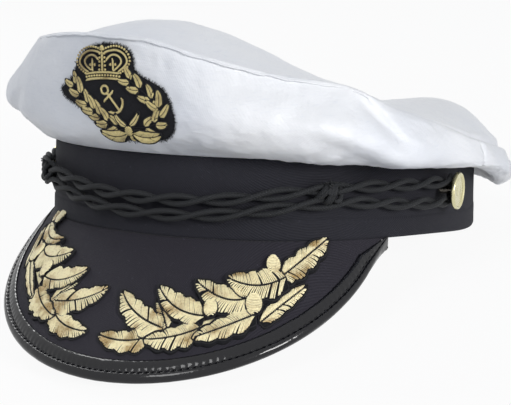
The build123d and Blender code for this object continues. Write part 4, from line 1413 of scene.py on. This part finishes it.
def visor_face(lift, rows=56, columns=400, inset=2.0, start=0.3, waver=0.0):
    """A grid of points over the visor, from the band out to its edge."""
    t, s = np.meshgrid(np.linspace(-1, 1, columns), np.linspace(0, 1, rows))
    ex, ey, _, _ = visor_edge(t)
    bx, by = beside_band(VISOR_CORNER * t, start)
    span = np.hypot(ex - bx, ey - by)
    keep = np.clip(1 - inset / np.maximum(span, 1e-6), 0, 1)
    x, y = bx + (ex - bx) * s * keep, by + (ey - by) * s * keep
    rumple = waver * ripple(51, x, y, 22) * np.clip(s * 4, 0, 1) * np.clip((1 - s) * 5, 0, 1)
    return np.stack([x, y, visor_up(x, y, lift + rumple)], -1)


def make_visor():
    """Top and under covers, the board between them, and the stitched patent binding."""
    cloth = finish("visor_cloth", twill, colours().visor, 0.05, 900.0)
    top, below = visor_face(0.0, start=-0.2, waver=0.08), visor_face(-0.6, start=-0.2)
    made = layer_mesh("visor_top_cloth", top, below)
    give(made, cloth, "visor_cloth", "cap", "visor_top_cover")
    declare_cloth(made, top, ["visor_stiff_board"])
    under = finish("visor_under_cloth", plain_weave, (0.030, 0.030, 0.033), 800.0, 0.00015)
    face, back = visor_face(-2.02, 30, 260, start=0.4), visor_face(-2.48, 30, 260, start=0.4)
    made = layer_mesh("visor_under_cloth", face, back)
    give(made, under, "visor_cloth", "cap", "visor_under_cover")
    declare_cloth(made, face, ["visor_stiff_board"])
    upper, lower = (visor_face(lift, 24, 200, inset=1.8, start=-0.2) for lift in (-0.68, -1.96))
    made = layer_mesh("visor_stiff_board", upper, lower)
    give(made, finish("visor_board", moulded_board, (0.030, 0.030, 0.033)), "stiffener", "cap",
         "visor_board")

    stitch = sizes().binding_stitch / MM
    half = math.pi / 2 * VISOR_RADIUS + float(beside_band(VISOR_CORNER, 0.3)[1]) - VISOR_CENTRE_Y
    count = round(2 * half / stitch)
    columns = count * 9 + 1
    t = np.linspace(-1, 1, columns)
    phase = (t + 1) / 2 * count
    near = 0.5 + 0.5 * np.cos(phase * math.tau)
    uneven = 0.12 * ripple(61, t * half, 0 * t, 7.0)
    section = [
        (5.3, 0.05, 0, 0), (5.25, 0.28, 0, 0), (4.95, 0.50, 0, 0.1), (4.4, 0.66, 0, 0.1),
        (3.8, 0.72, -0.01, 0.1),
        (3.2, 0.66, -0.03, 0.1), (2.7, 0.50, -0.12, 0), (2.35, 0.30, -0.24, 0),
        (2.05, 0.24, -0.22, 0),
        (1.8, 0.36, -0.16, 0), (1.5, 0.54, -0.07, 0), (1.15, 0.62, -0.02, 0), (0.8, 0.54, 0, 0),
        (0.55, 0.30, 0, 0),
        (0.42, -0.05, 0, 0), (0.5, -0.5, 0, 0), (0.7, -1.0, 0, 0), (1.0, -1.5, 0, 0),
        (1.5, -2.05, 0, 0),
        (2.1, -2.45, 0.05, 0), (2.7, -2.64, 0.1, 0), (3.4, -2.68, 0.12, 0), (4.2, -2.80, 0.1, 0),
        (4.9, -2.84, 0, 0),
        (5.3, -2.74, 0, 0), (5.3, -2.58, 0, 0), (4.5, -2.53, 0, 0), (3.4, -2.52, 0, 0),
        (2.1, -2.32, 0, 0),
        (1.5, -1.7, 0, 0), (1.3, -0.6, 0, 0), (1.8, 0.0, 0, 0), (3.4, 0.05, 0, 0),
        (4.6, 0.05, 0, 0),
    ]
    inward, lift, dip, tuck = np.array(section).T[:, :, None]
    ex, ey, nx, ny = visor_edge(t)
    bx, by = beside_band(VISOR_CORNER * t, 0.3)
    room = np.clip(np.hypot(ex - bx, ey - by) / 9.0, 0.03, 1)
    pulled = inward + tuck * 0.5 * near + np.where(inward > 5, 0.08 * near, 0)
    u = pulled * np.where(inward > 0, room, 1)
    x, y = ex - u * nx, ey - u * ny
    raised = lift + dip * near + np.where(np.abs(dip) > 0.2, uneven, 0.3 * uneven)
    at_edge = out_from_band(ex, ey)
    inside = np.where(u < 0, at_edge + 0.35 * u, out_from_band(x, y))
    z = raised * STEEP - VISOR_SLOPE * inside
    grid = np.stack([x, y, z], -1).transpose(1, 0, 2)
    made = capped_tube("visor_binding", grid)
    give(made, finish("patent_binding", patent, colours().patent), "black_vinyl", "cap",
         "visor_edge_binding")
    lines = []
    for k in range(1, count):
        place = -1 + 2 * (k + np.linspace(-0.40, 0.40, 5)) / count
        ex, ey, nx, ny = visor_edge(place)
        if abs(place[2]) > 0.93:
            continue
        x, y = ex - 2.1 * nx, ey - 2.1 * ny
        lift = 0.22 + np.array([-0.2, 0.10, 0.14, 0.10, -0.2])
        lines.append(np.stack([x, y, visor_up(x, y, lift)], -1))
    thread = grown("binding_stitches", thread_tree, lines, Thread_Radius=0.00020, Sides=6,
                   Finish=dark_thread())
    give(thread, dark_thread(), "black_vinyl", "cap")


# --- Embroidery ---
def vein_line(base, middle, tip, s):
    """A smooth line through a leaf's base, middle and tip, with its side vector."""
    base, middle, tip = (np.array(p, float) for p in (base, middle, tip))
    bend = 2 * middle - (base + tip) / 2
    s = np.asarray(s)[..., None]
    line = base * (1 - s) ** 2 + 2 * bend * s * (1 - s) + tip * s * s
    ahead = (bend - base) * (1 - s) + (tip - bend) * s
    ahead = ahead / np.linalg.norm(ahead, axis=-1, keepdims=True)
    return line, np.stack([-ahead[..., 1], ahead[..., 0]], -1)


def scalloped(s, scallops, depth, shift=0.0):
    """Half width of a leaf at s along it, as a share of its widest half, with rounded scallops."""
    s = np.clip(s, 0, 1)
    body = np.clip(1 - s ** 3.0, 0, 1) ** 0.6 * np.sqrt(np.clip((s + 0.10) / 0.3, 0, 1))
    return body * (1 - depth * (1 - np.abs(np.sin(math.pi * (scallops * s + shift)))))


OUTLINE_RADIUS = 0.00024


class Needlework:
    """Collects satin stitches, dark threads and padding in flat places with a rise, for one piece.

    fine makes the threads thinner; work that is finer than 1 is sewn in the badge's duller gold.
    """

    def __init__(self, onto, seed, fine=1.0):
        self.onto, self.rng, self.fine = onto, np.random.default_rng(seed), fine
        self.satin, self.satin_share = [], []
        self.dark, self.dark_share = [], []
        self.pads = []

    def stitch(self, start, end, rise, low=0.12, share=1.0):
        """One satin stitch from start to end that swells by rise in the middle."""
        s = np.linspace(0, 1, 6)
        place = np.outer(1 - s, start) + np.outer(s, end)
        lift = low + rise * np.sqrt(np.clip(np.sin(math.pi * np.clip(0.06 + 0.88 * s, 0, 1)), 0, 1))
        self.satin.append(np.column_stack([place, lift]))
        self.satin_share.append(np.full(6, share * self.rng.uniform(0.85, 1.15)))

    def line(self, places, lift, share=1.0):
        """One dark thread along places."""
        self.dark.append(np.column_stack([places, np.broadcast_to(lift, len(places))]))
        self.dark_share.append(np.full(len(places), share))

    def leaf(self, base, middle, tip, widths, scallops=4, depth=0.14, rise=0.36, slant=0.12,
             pitch=None, margin=0.55,
             level=0.0, gap=0.30):
        """A leaf of two rows of satin stitches on a dark pad, with a dark vein and outline."""
        pitch = pitch or sizes().satin_pitch / MM
        length = float(np.hypot(*(np.array(tip, float) - base)))
        shifts = (0.5, 0.2)
        s = np.linspace(0, 1, 48)
        line, side = vein_line(base, middle, tip, s)
        edges = []
        for k, way in enumerate((1, -1)):
            h = widths[k] * scalloped(s, scallops, depth, shifts[k])
            edges.append(line + side * (way * (h + margin))[:, None])
        ahead = (line[-1] - line[-2]) / np.linalg.norm(line[-1] - line[-2])
        edges[0][-1] = edges[1][-1] = line[-1] + ahead * margin
        edges[0][0] = edges[1][0] = line[0] - ahead * margin * 0.5
        rows = [edges[0] + (edges[1] - edges[0]) * w for w in np.linspace(0, 1, 7)]
        lifts = level + 0.10 + 0.14 * np.sin(np.linspace(0, math.pi, 7))
        self.pads.append(np.stack([np.column_stack([row, np.full(48, lift)]) for row,
                                   lift in zip(rows, lifts)]))
        for edge in edges:
            self.line(edge, level + 0.24, 1.3)
        count = max(8, round(length / pitch))
        for k, way in enumerate((1, -1)):
            for n in range(count):
                s0 = (n + 0.5) / count * 0.97
                s1 = min(1.0, s0 + slant * (1 - s0 * 0.6) + self.rng.normal(0, 0.006))
                a, side0 = vein_line(base, middle, tip, s0)
                b, side1 = vein_line(base, middle, tip, s1)
                reach = max(widths[k] * float(scalloped(s1, scallops, depth, shifts[k])), 0.3)
                reach *= self.rng.uniform(0.96, 1.03)
                if reach < gap + 0.15 or self.rng.random() < 0.04:
                    continue
                self.stitch(a + side0 * way * gap, b + side1 * way * reach,
                            rise * min(1, 0.4 + reach / 4), level + 0.12)
        if gap > 0.1:
            vein = np.linspace(0.0, 0.97, 20)
            self.line(vein_line(base, middle, tip, vein)[0], level + 0.30, 0.9)

    def rope(self, places, width, pitch=0.55, rise=0.35):
        """A raised stem: short slanting stitches over a line of places."""
        length = run_of(places)
        at = np.arange(0, length[-1], pitch)
        line = np.stack([np.interp(at, length, places[:, k]) for k in range(2)], 1)
        ahead = np.gradient(line, axis=0)
        ahead /= np.linalg.norm(ahead, axis=1, keepdims=True)
        side = np.stack([-ahead[:, 1], ahead[:, 0]], 1)
        for p, a, n in zip(line, ahead, side):
            self.stitch(p - n * width / 2 - a * 0.5, p + n * width / 2 + a * 0.5, rise)
        for way in (1, -1):
            self.line(line + side * way * (width / 2 + 0.28), 0.10, 0.8)

    def berry(self, centre, radius, rise=0.6, turn=0.5, level=0.0):
        """A small round satin dot."""
        centre = np.array(centre, float)
        ahead, side = np.array([math.cos(turn), math.sin(turn)]), np.array([-math.sin(turn),
                                                                            math.cos(turn)])
        for off in np.arange(-radius * 0.9, radius * 0.91, 0.45):
            reach = math.sqrt(radius ** 2 - off ** 2)
            self.stitch(centre + side * off - ahead * reach, centre + side * off + ahead * reach,
                        rise, level + 0.12)
        ring = np.linspace(0, math.tau, 24)
        circle = np.stack([np.cos(ring), np.sin(ring)], 1)
        self.line(centre + (radius + 0.3) * circle, level + 0.12, 1.0)

    def sew(self, name, node):
        """Turns what was collected into the gold, dark and padding pieces."""
        radius = sizes().satin_radius * self.fine
        bright = gold() if self.fine == 1.0 else badge_gold()
        if self.satin:
            lines = [self.onto(p) for p in self.satin]
            thread = grown(name, thread_tree, lines, self.satin_share, Thread_Radius=radius,
                           Sides=6, Finish=bright)
            give(thread, bright, "gold_thread", "cap", node)
        if self.dark:
            lines = [self.onto(p) for p in self.dark]
            thread = grown(name + "_outline", thread_tree, lines, self.dark_share,
                           Thread_Radius=OUTLINE_RADIUS * self.fine, Sides=5,
                           Finish=dark_thread())
            give(thread, dark_thread(), "black_felt", "cap")
        if self.pads:
            points, faces = [], []
            for pad in self.pads:
                start = sum(len(p) for p in points)
                top = self.onto(pad.reshape(-1, 3))
                flat = pad.copy()
                flat[..., 2] = 0.0
                low = self.onto(flat.reshape(-1, 3))
                rows, columns = pad.shape[:2]
                points += [top, low]
                quads = grid_faces(rows, columns)
                n = rows * columns
                faces += [tuple(start + k for k in q) for q in quads]
                faces += [tuple(start + n + k for k in reversed(q)) for q in quads]
                rim = list(range(columns)) + [i * columns + columns - 1 for i in range(1, rows)]
                rim += [(rows - 1) * columns + j for j in range(columns - 2, -1, -1)]
                rim += [i * columns for i in range(rows - 2, 0, -1)]
                for a, b in zip(rim, rim[1:] + rim[:1]):
                    faces.append((start + b, start + a, start + n + a, start + n + b))
            pad_mesh = outward(new_mesh(name + "_pad", laid(np.concatenate(points)), faces))
            give(pad_mesh, finish("black_felt", felt, colours().felt), "black_felt", "cap")


SPRAY_TURN, SPRAY_RADIUS = -6.0, 63.0
# The right spray starts a little further round, and its leaves past an angle are narrower
RIGHT_START, NARROW_FROM, NARROWED = 3.5, 52, 0.45
# Leaves: base, middle and tip, each an angle from the spray's start and a distance from the
# visor's centre, then how wide they are on the outer and the inner side, how deep their scallops
# are, and how high they lie.
SPRAY_LEAVES = [
    ((53.4, 67.0), (63.0, 65.2), (72.0, 64.8), 2.4, 2.2, 0.17, 0.10),
    ((24.0, 61.9), (21.6, 57.4), (18.2, 53.2), 1.9, 2.0, 0.10, 0.00),
    ((19.2, 63.4), (10.4, 64.9), (0.8, 64.2), 3.7, 3.0, 0.24, 0.00),
    ((34.6, 63.4), (26.0, 64.6), (17.2, 64.8), 4.1, 2.7, 0.24, 0.42),
    ((52.4, 65.0), (42.0, 65.3), (32.6, 66.2), 3.5, 2.9, 0.24, 0.84),
    ((64.6, 59.0), (76.0, 58.9), (88.0, 60.2), 4.2, 2.9, 0.28, 0.80),
    ((66.0, 60.2), (55.4, 58.0), (45.8, 52.2), 4.4, 4.6, 0.17, 1.25),
    ((51.7, 59.8), (43.0, 57.2), (33.4, 50.0), 4.4, 4.0, 0.17, 0.85),
    ((36.4, 60.4), (26.4, 56.6), (17.8, 49.8), 3.0, 4.3, 0.17, 0.50),
    ((22.4, 61.5), (11.4, 57.2), (2.0, 51.4), 4.2, 3.5, 0.22, 0.12),
]
SPRAY_BERRIES = [(52.8, 62.6, 2.9), (38.4, 59.6, 2.4), (64.0, 55.2, 2.5)]


def on_spray(side, angle, radius):
    """Place on the visor by angle from the spray's start and distance from its centre."""
    start = RIGHT_START if side < 0 else 0.0
    turn = np.radians(side * (np.asarray(angle, float) + start) + SPRAY_TURN - 90)
    return np.stack([radius * np.cos(turn), radius * np.sin(turn) + VISOR_CENTRE_Y], -1)


def onto_visor(points):
    """Flat places with a rise, laid on the visor's face."""
    x, y, lift = np.asarray(points).T
    return np.stack([x, y, visor_up(x, y, lift)], -1)


def make_sprays():
    """One spray of gold oak leaves on each side of the visor."""
    for side, word in ((1, "left"), (-1, "right")):
        work = Needlework(onto_visor, 70 + side)
        work.rope(on_spray(side, np.linspace(20.0, 66.0, 70), SPRAY_RADIUS - 1.0), 1.2, rise=0.2)
        for base, middle, tip, outer, inner, depth, level in SPRAY_LEAVES:
            places = [on_spray(side, *place) for place in (base, middle, tip)]
            along = places[2] - places[0]
            radial = places[1] - (0, VISOR_CENTRE_Y)
            outer_first = along[0] * radial[1] - along[1] * radial[0] > 0
            if side < 0 and base[0] > NARROW_FROM:
                outer, inner = NARROWED * outer, NARROWED * inner
            widths = (outer, inner) if outer_first else (inner, outer)
            work.leaf(*places, widths, depth=depth, level=level)
        for angle, radius, size in SPRAY_BERRIES:
            work.berry(on_spray(side, angle, radius), size, level=1.35)
        work.sew(f"spray_{word}", f"visor_spray_{word}")


# --- Badge ---
BADGE_X, BADGE_UP, BADGE_LEAN = -6.5, 55.5, 10.0
BADGE_FINE = 0.72


class CrownFront:
    """The crown's front as seen from straight ahead, in the badge's own upright plane."""

    def __init__(self, front):
        rows, columns = front.shape[:2]
        tree = BVHTree.FromPolygons([Vector(p) for p in front.reshape(-1, 3)],
                                    grid_faces(rows, columns))
        lean = math.radians(BADGE_LEAN)
        self.right = np.array([math.cos(lean), 0, math.sin(lean)])
        self.up = np.array([-math.sin(lean), 0, math.cos(lean)])
        self.origin = np.array([BADGE_X, 0, BADGE_UP])
        self.u, self.v = np.arange(-30.0, 30.5, 1.0), np.arange(-23.0, 27.5, 1.0)
        depth = np.zeros((len(self.v), len(self.u)))
        for i, v in enumerate(self.v):
            for j, u in enumerate(self.u):
                start = self.origin + u * self.right + v * self.up
                hit = tree.ray_cast(Vector((start[0], -400, start[2])), Vector((0, 1, 0)))[0]
                depth[i, j] = hit[1] if hit else np.nan
        depth = np.where(np.isnan(depth), np.nanmean(depth), depth)
        for _ in range(2):
            padded = np.pad(depth, 1, mode="edge")
            depth = (padded[:-2, 1:-1] + padded[2:, 1:-1] + padded[1:-1, :-2] + padded[1:-1, 2:]
                     + 2 * depth) / 6
        self.depth = depth
        self.slope_v, self.slope_u = np.gradient(depth)

    def read(self, table, u, v):
        i = np.clip((v - self.v[0]), 0, len(self.v) - 1.001)
        j = np.clip((u - self.u[0]), 0, len(self.u) - 1.001)
        a, b = i.astype(int), j.astype(int)
        fi, fj = i - a, j - b
        return (table[a, b] * (1 - fi) * (1 - fj) + table[a + 1, b] * fi * (1 - fj)
                + table[a, b + 1] * (1 - fi) * fj + table[a + 1, b + 1] * fi * fj)

    def __call__(self, points, base=0.0):
        """Flat places with a rise, laid on the crown's front."""
        u, v, lift = np.asarray(points, float).T
        depth = self.read(self.depth, u, v)
        su, sv = self.read(self.slope_u, u, v), self.read(self.slope_v, u, v)
        ahead = np.array([0, 1.0, 0])
        normal = np.cross(self.right + su[:, None] * ahead, self.up + sv[:, None] * ahead)
        normal /= np.linalg.norm(normal, axis=1, keepdims=True)
        place = self.origin + u[:, None] * self.right + v[:, None] * self.up
        place[:, 1] = depth
        return place + normal * (lift + base)[:, None]


PATCH_THICK = 1.1
# Flat width, depth and area of the felt, in metres and square metres
PATCH_FLAT, PATCH_AREA = (0.051, 0.039), 0.0012
# The patch's outline, right and up from the badge's own centre: the round top holds the crown,
# and the left end is drawn out to a tip where the felt wraps round the front of the cap.
PATCH_OUTLINE = [
    (-30, 3.5), (-26, 5), (-22, 7.5), (-20.5, 12), (-16, 15.5), (-11, 16.7), (-5, 16.6),
    (1, 15.3), (5, 13), (6.5, 10), (6, 5.5), (9, 2.5), (13, 0), (17, -3), (19, -8), (20, -14),
    (18, -18.5), (13, -20.5), (3, -20), (-5, -18.5), (-12, -15), (-15.5, -10.5), (-17.5, -7),
    (-22, -4), (-28, 0),
]
PATCH_MIDDLE = (-5.0, 0.0)


def patch_edge():
    """The patch's outline as evenly spaced points, its corners softened."""
    corners = np.array(PATCH_OUTLINE[::-1] + PATCH_OUTLINE[-1:])
    edge = evenly(np.column_stack([corners, 0 * corners[:, 0]]), 0.38)[:-1, :2]
    for _ in range(14):
        edge = (np.roll(edge, 1, 0) + 2 * edge + np.roll(edge, -1, 0)) / 4
    return edge


def turned_place(origin, degrees, x, y):
    """Places on the badge of x and y in a frame that is turned about its origin."""
    s, c = math.sin(math.radians(degrees)), math.cos(math.radians(degrees))
    x, y = np.asarray(x, float), np.asarray(y, float)
    return np.stack([origin[0] + x * c - y * s, origin[1] + x * s + y * c], -1)


def make_badge(front):
    """Felt patch with crown, anchor, two laurel sprigs and bow, laid on the crown's front."""
    onto = CrownFront(front)
    rng = np.random.default_rng(17)
    edge = patch_edge()
    rings = []
    for share, lift in ((0.02, 1.12), (0.3, 1.1), (0.55, 1.1), (0.75, 1.1), (0.88, 1.08),
                        (0.95, 1.0), (0.985, 0.8),
                        (1.0, 0.5), (0.99, 0.15), (0.96, 0.02)):
        ring = edge * share + np.array(PATCH_MIDDLE) * (1 - share)
        rough = 0.10 * ripple(81, edge[:, 0] * share, edge[:, 1] * share, 4.0)
        rings.append(np.column_stack([ring, np.full(len(ring), lift) + rough * (lift > 0.9)]))
    rings += [np.column_stack([edge * k + np.array(PATCH_MIDDLE) * (1 - k), np.zeros(len(edge))])
              for k in (0.7, 0.3, 0.02)]
    grid = np.array([onto(ring) for ring in rings])
    patch = capped_tube("badge_felt", grid)
    felted = finish("black_felt", felt, colours().felt)
    give(patch, felted, "black_felt", "cap", "badge_patch")
    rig.sheet(patch, flat=PATCH_FLAT, held="laid", rests_on=["crown_front"], area=PATCH_AREA)
    hairs, shares = [], []
    for place, ahead in zip(edge, np.roll(edge, -1, 0) - edge):
        out = np.array([ahead[1], -ahead[0]])
        out, along = out / np.linalg.norm(out), ahead / np.linalg.norm(ahead)
        for _ in range(3):
            start = place - out * 0.4 + ahead * rng.uniform(0, 1)
            tip = out * rng.uniform(0.5, 1.5) + along * rng.uniform(-0.8, 0.8)
            s = np.linspace(0, 1, 4)
            lift = rng.uniform(0.2, 0.9) + rng.uniform(-0.3, 0.4) * s
            hairs.append(onto(np.column_stack([start + np.outer(s, tip), lift])))
            shares.append(np.linspace(1, 0.35, 4))
    fuzz = grown("badge_felt_fuzz", thread_tree, hairs, shares, Thread_Radius=0.00010, Sides=4,
                 Finish=felted)
    give(fuzz, felted, "black_felt", "cap")

    def over_patch(points):
        return onto(points, PATCH_THICK)

    # Laurel sprigs: pairs of fat leaves along each side
    stems = {"right": [(-1.5, -14.5), (-7, -13.0), (-13, -7.5), (-18, -2.5), (-22.0, 4.5)],
             "left": [(1.5, -14.5), (10, -16.0), (15.5, -11.0), (10, -3.5), (3.5, 2.5)]}
    for side, word in ((1, "left"), (-1, "right")):
        work = Needlework(over_patch, 90 + side, BADGE_FINE)
        s = np.linspace(0, 1, 60)
        stem = np.stack([eased([p[k] for p in stems[word]], s) for k in range(2)], 1)
        ahead = np.gradient(stem, axis=0)
        ahead /= np.linalg.norm(ahead, axis=1, keepdims=True)
        work.line(stem, 0.35, 1.0)
        for n, at in enumerate((7, 16, 25, 34, 43, 52, 58)):
            root, way = stem[at], ahead[at]
            out = np.array([-way[1], way[0]])
            for hand in (1, -1):
                size = rng.uniform(0.9, 1.1) * (0.85 if n in (0, 6) else 1)
                base = root + out * hand * 0.5
                tip = base + (way * 5.2 + out * hand * 2.5) * size
                middle = (base + tip) / 2 + (way * -0.3 + out * hand * 0.4)
                level = 0.1 + 0.12 * (n % 2) + 0.06 * hand
                work.leaf(base, middle, tip, (1.25 * size, 1.25 * size), 0, 0.0, 0.42, 0.22, 0.48,
                          0.28, level, 0.17)
        work.sew(f"badge_sprig_{word}", f"badge_wreath_{word}")

    # Bow: two long pointed loops, two short tails and a middle wrap
    work = Needlework(over_patch, 97, BADGE_FINE)
    for base, middle, tip, size in (((-1.6, -16.0), (-7.4, -16.3), (-13.2, -13.8), 1.8),
                                    ((1.0, -16.4), (6.6, -18.4), (12.8, -18.0), 1.9),
                                    ((-1.0, -13.6), (-3.4, -11.6), (-4.6, -8.8), 0.8),
                                    ((0.6, -13.6), (3.6, -12.0), (5.6, -9.4), 0.8)):
        work.leaf(base, middle, tip, (size, size), 0, 0.0, 0.45, 0.25, 0.48, 0.3, 0.35, 0.2)
    work.berry((-0.3, -15.2), 1.5, 0.8, level=0.4)
    work.rope(np.stack([np.full(8, -0.3), np.linspace(-16.4, -18.6, 8)], 1), 1.5, 0.5, 0.4)
    work.sew("badge_tie", "badge_bow")

    # Plain anchor lying aslant: ring, stock, shank and curved arms
    work = Needlework(over_patch, 98, BADGE_FINE)

    def aslant(x, y):
        return turned_place((-5.2, -3.6), 32, x, y)

    work.rope(aslant(np.zeros(20), np.linspace(2.8, -5.2, 20)), 0.7, 0.5, 0.3)
    work.rope(aslant(np.linspace(-2.7, 2.7, 16), np.full(16, 1.6)), 0.6, 0.5, 0.3)
    arm = np.radians(np.linspace(200, 340, 26))
    work.rope(aslant(4.0 * np.cos(arm), -1.3 + 4.0 * np.sin(arm)), 0.7, 0.5, 0.3)
    ring = np.radians(np.linspace(0, 360, 22))
    work.rope(aslant(1.5 * np.cos(ring), 4.4 + 1.5 * np.sin(ring)), 0.6, 0.45, 0.25)
    work.sew("badge_anchor_stitches", "badge_anchor")

    # Domed crown: beaded arches over a base of bars
    work = Needlework(over_patch, 99, BADGE_FINE)

    def level(x, y):
        return turned_place((-7.4, 5.0), -7, x, y)

    def arch(controls, side, count=44):
        t = np.linspace(0, 1, count)
        return level(side * eased([c[0] for c in controls], t), eased([c[1] for c in controls], t))

    across = np.linspace(-7.6, 7.6, 44)
    for up, width in ((-0.6, 0.6), (1.5, 0.5)):
        work.rope(level(across, up - 0.010 * across ** 2), width, 0.5, 0.35)
    beads = [level(across, 0.45 - 0.010 * across ** 2)]
    outer = [(7.4, 1.8), (11.8, 4.0), (10.4, 8.0), (5.0, 10.0), (0.9, 8.4)]
    beaded = [(8.2, 1.2), (13.2, 3.8), (11.6, 9.2), (5.2, 11.5), (0.8, 9.7)]
    inner = [(5.6, 2.4), (9.2, 4.4), (7.8, 7.4), (3.6, 8.0), (1.9, 5.8)]
    for side in (1, -1):
        work.rope(arch(outer, side), 0.5, 0.5, 0.35)
        beads.append(arch(beaded, side))
        work.rope(arch(inner, side), 0.45, 0.5, 0.3)
        work.rope(arch([(4.8, 2.4), (4.9, 4.0), (4.8, 6.2)], side, 12), 0.5, 0.5, 0.3)
        for x in (3.7, 5.9):
            work.berry(level(side * x, 4.3), 0.45, 0.4)
        beads.append(arch([(1.3, 2.4), (1.3, 5.4), (1.1, 8.2)], side, 14))
    work.rope(level(np.zeros(20), np.linspace(2.2, 9.2, 20)), 0.7, 0.5, 0.35)
    work.berry(level(0, 10.2), 0.9, 0.7)
    work.sew("badge_dome_stitches", "badge_crown")
    beads = [np.column_stack([line, np.full(len(line), 0.4)]) for line in beads]
    strings = grown("badge_beads", bead_tree, [over_patch(line) for line in beads], Spacing=0.00125,
                    Bead_Radius=sizes().bead_radius, Finish=badge_gold())
    give(strings, badge_gold(), "gold_thread", "cap")


# --- Buttons ---
def make_buttons():
    """Two dished button heads with rolled rims, and their shanks and washers."""
    metal = finish("pale_button_metal", pale_brass, colours().button, colours().button_worn)
    steel = finish("pin_metal", pale_brass, (0.16, 0.15, 0.13), (0.09, 0.08, 0.07))
    for side, word in ((1, "left"), (-1, "right")):
        low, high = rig.box(f"button_{word}_head")
        ends = own([[(low.x + high.x) / 2, (low.y + high.y) / 2, (low.z + high.z) / 2], low, high])
        middle, back = ends[0], -abs(ends[2][0] - ends[1][0]) / 2
        front = -back
        section = [
            (front - 0.36, 0.0), (front - 0.37, 1.2), (front - 0.40, 2.4), (front - 0.52, 2.75),
            (front - 0.42, 3.1), (front - 0.44, 4.6), (front - 0.50, 5.7), (front - 0.52, 6.15),
            (front - 0.40, 6.42), (front - 0.12, 6.6), (front + 0.02, 6.9), (front - 0.02, 7.2),
            (front - 0.2, 7.42), (front - 0.5, 7.5), (0.0, 7.5), (back + 0.4, 7.44),
            (back + 0.12, 7.25), (back, 6.8), (back, 4.0), (back, 1.2), (back, 0.0),
        ]
        turn = np.linspace(0, math.tau, 96, endpoint=False)
        rings = np.array([[(middle[0] + side * x, middle[1] + r * math.cos(a),
                            middle[2] + r * math.sin(a))
                           for a in turn] for x, r in section])
        rows, columns = rings.shape[:2]
        made = new_mesh(f"button_{word}_face", laid(rings.reshape(-1, 3)),
                        grid_faces(rows, columns, False, True))
        give(outward(made), metal, "button_metal", f"button_{word}", f"button_{word}_head")
        for part in ("shank", "washer"):
            finish_node(f"button_{word}_{part}", steel)


# --- Operators and panel ---
class PEAKEDCAP_OT_camera(bpy.types.Operator):
    """Place the camera in front of the cap"""

    bl_idname = "peakedcap.camera"
    bl_label = "Camera"

    def execute(self, context):
        make_camera()
        return {"FINISHED"}


class PEAKEDCAP_OT_chin_cord(bpy.types.Operator):
    """Twist the chin cord and wrap its knots"""

    bl_idname = "peakedcap.chin_cord"
    bl_label = "Chin Cord"

    def execute(self, context):
        make_chin_cord()
        return {"FINISHED"}


class PEAKEDCAP_OT_band(bpy.types.Operator):
    """Make the band cover and the sweatband"""

    bl_idname = "peakedcap.band"
    bl_label = "Band"

    def execute(self, context):
        make_band()
        return {"FINISHED"}


class PEAKEDCAP_OT_crown(bpy.types.Operator):
    """Sew the crown's panels, foam and lining, and the badge on its front"""

    bl_idname = "peakedcap.crown"
    bl_label = "Crown and Badge"

    def execute(self, context):
        make_badge(make_crown())
        return {"FINISHED"}


class PEAKEDCAP_OT_visor(bpy.types.Operator):
    """Cover and bind the visor"""

    bl_idname = "peakedcap.visor"
    bl_label = "Visor"

    def execute(self, context):
        make_visor()
        return {"FINISHED"}


class PEAKEDCAP_OT_sprays(bpy.types.Operator):
    """Embroider the visor's two sprays of leaves"""

    bl_idname = "peakedcap.sprays"
    bl_label = "Visor Embroidery"

    def execute(self, context):
        make_sprays()
        return {"FINISHED"}


class PEAKEDCAP_OT_buttons(bpy.types.Operator):
    """Turn the side buttons"""

    bl_idname = "peakedcap.buttons"
    bl_label = "Buttons"

    def execute(self, context):
        make_buttons()
        return {"FINISHED"}


class PEAKEDCAP_OT_stage(bpy.types.Operator):
    """Lay the floor and set the lamps"""

    bl_idname = "peakedcap.stage"
    bl_label = "Stage"

    def execute(self, context):
        make_stage()
        return {"FINISHED"}


OPERATORS = (PEAKEDCAP_OT_camera, PEAKEDCAP_OT_chin_cord, PEAKEDCAP_OT_band, PEAKEDCAP_OT_crown,
             PEAKEDCAP_OT_visor, PEAKEDCAP_OT_sprays, PEAKEDCAP_OT_buttons, PEAKEDCAP_OT_stage)


class PEAKEDCAP_PT_panel(bpy.types.Panel):
    """Lists the steps that make the cap"""

    bl_idname = "PEAKEDCAP_PT_panel"
    bl_label = "Peaked Cap"
    bl_space_type = "VIEW_3D"
    bl_region_type = "UI"
    bl_category = "Peaked Cap"

    def draw(self, context):
        for group in (context.scene.peaked_cap_sizes, context.scene.peaked_cap_colours):
            box = self.layout.box()
            for name in group.bl_rna.properties.keys():
                if name not in ("rna_type", "name"):
                    box.prop(group, name)
        for operator in OPERATORS:
            self.layout.operator(operator.bl_idname)


CLASSES = (PeakedCapSizes, PeakedCapColours, *OPERATORS, PEAKEDCAP_PT_panel)


def register():
    for kind in CLASSES:
        bpy.utils.register_class(kind)
    bpy.types.Scene.peaked_cap_sizes = bpy.props.PointerProperty(type=PeakedCapSizes)
    bpy.types.Scene.peaked_cap_colours = bpy.props.PointerProperty(type=PeakedCapColours)


def unregister():
    del bpy.types.Scene.peaked_cap_sizes
    del bpy.types.Scene.peaked_cap_colours
    for kind in reversed(CLASSES):
        bpy.utils.unregister_class(kind)


def main():
    """Makes the whole cap and writes down its size before and after."""
    register()
    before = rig.bounds()
    bpy.ops.peakedcap.camera()
    bpy.ops.peakedcap.chin_cord()
    bpy.ops.peakedcap.band()
    bpy.ops.peakedcap.crown()
    bpy.ops.peakedcap.visor()
    bpy.ops.peakedcap.sprays()
    bpy.ops.peakedcap.buttons()
    bpy.ops.peakedcap.stage()
    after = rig.bounds()
    with open("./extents.json", "w") as file:
        json.dump({"cad": [list(corner) for corner in before],
                   "visual": [list(corner) for corner in after]}, file)


if __name__ == "__main__":
    main()
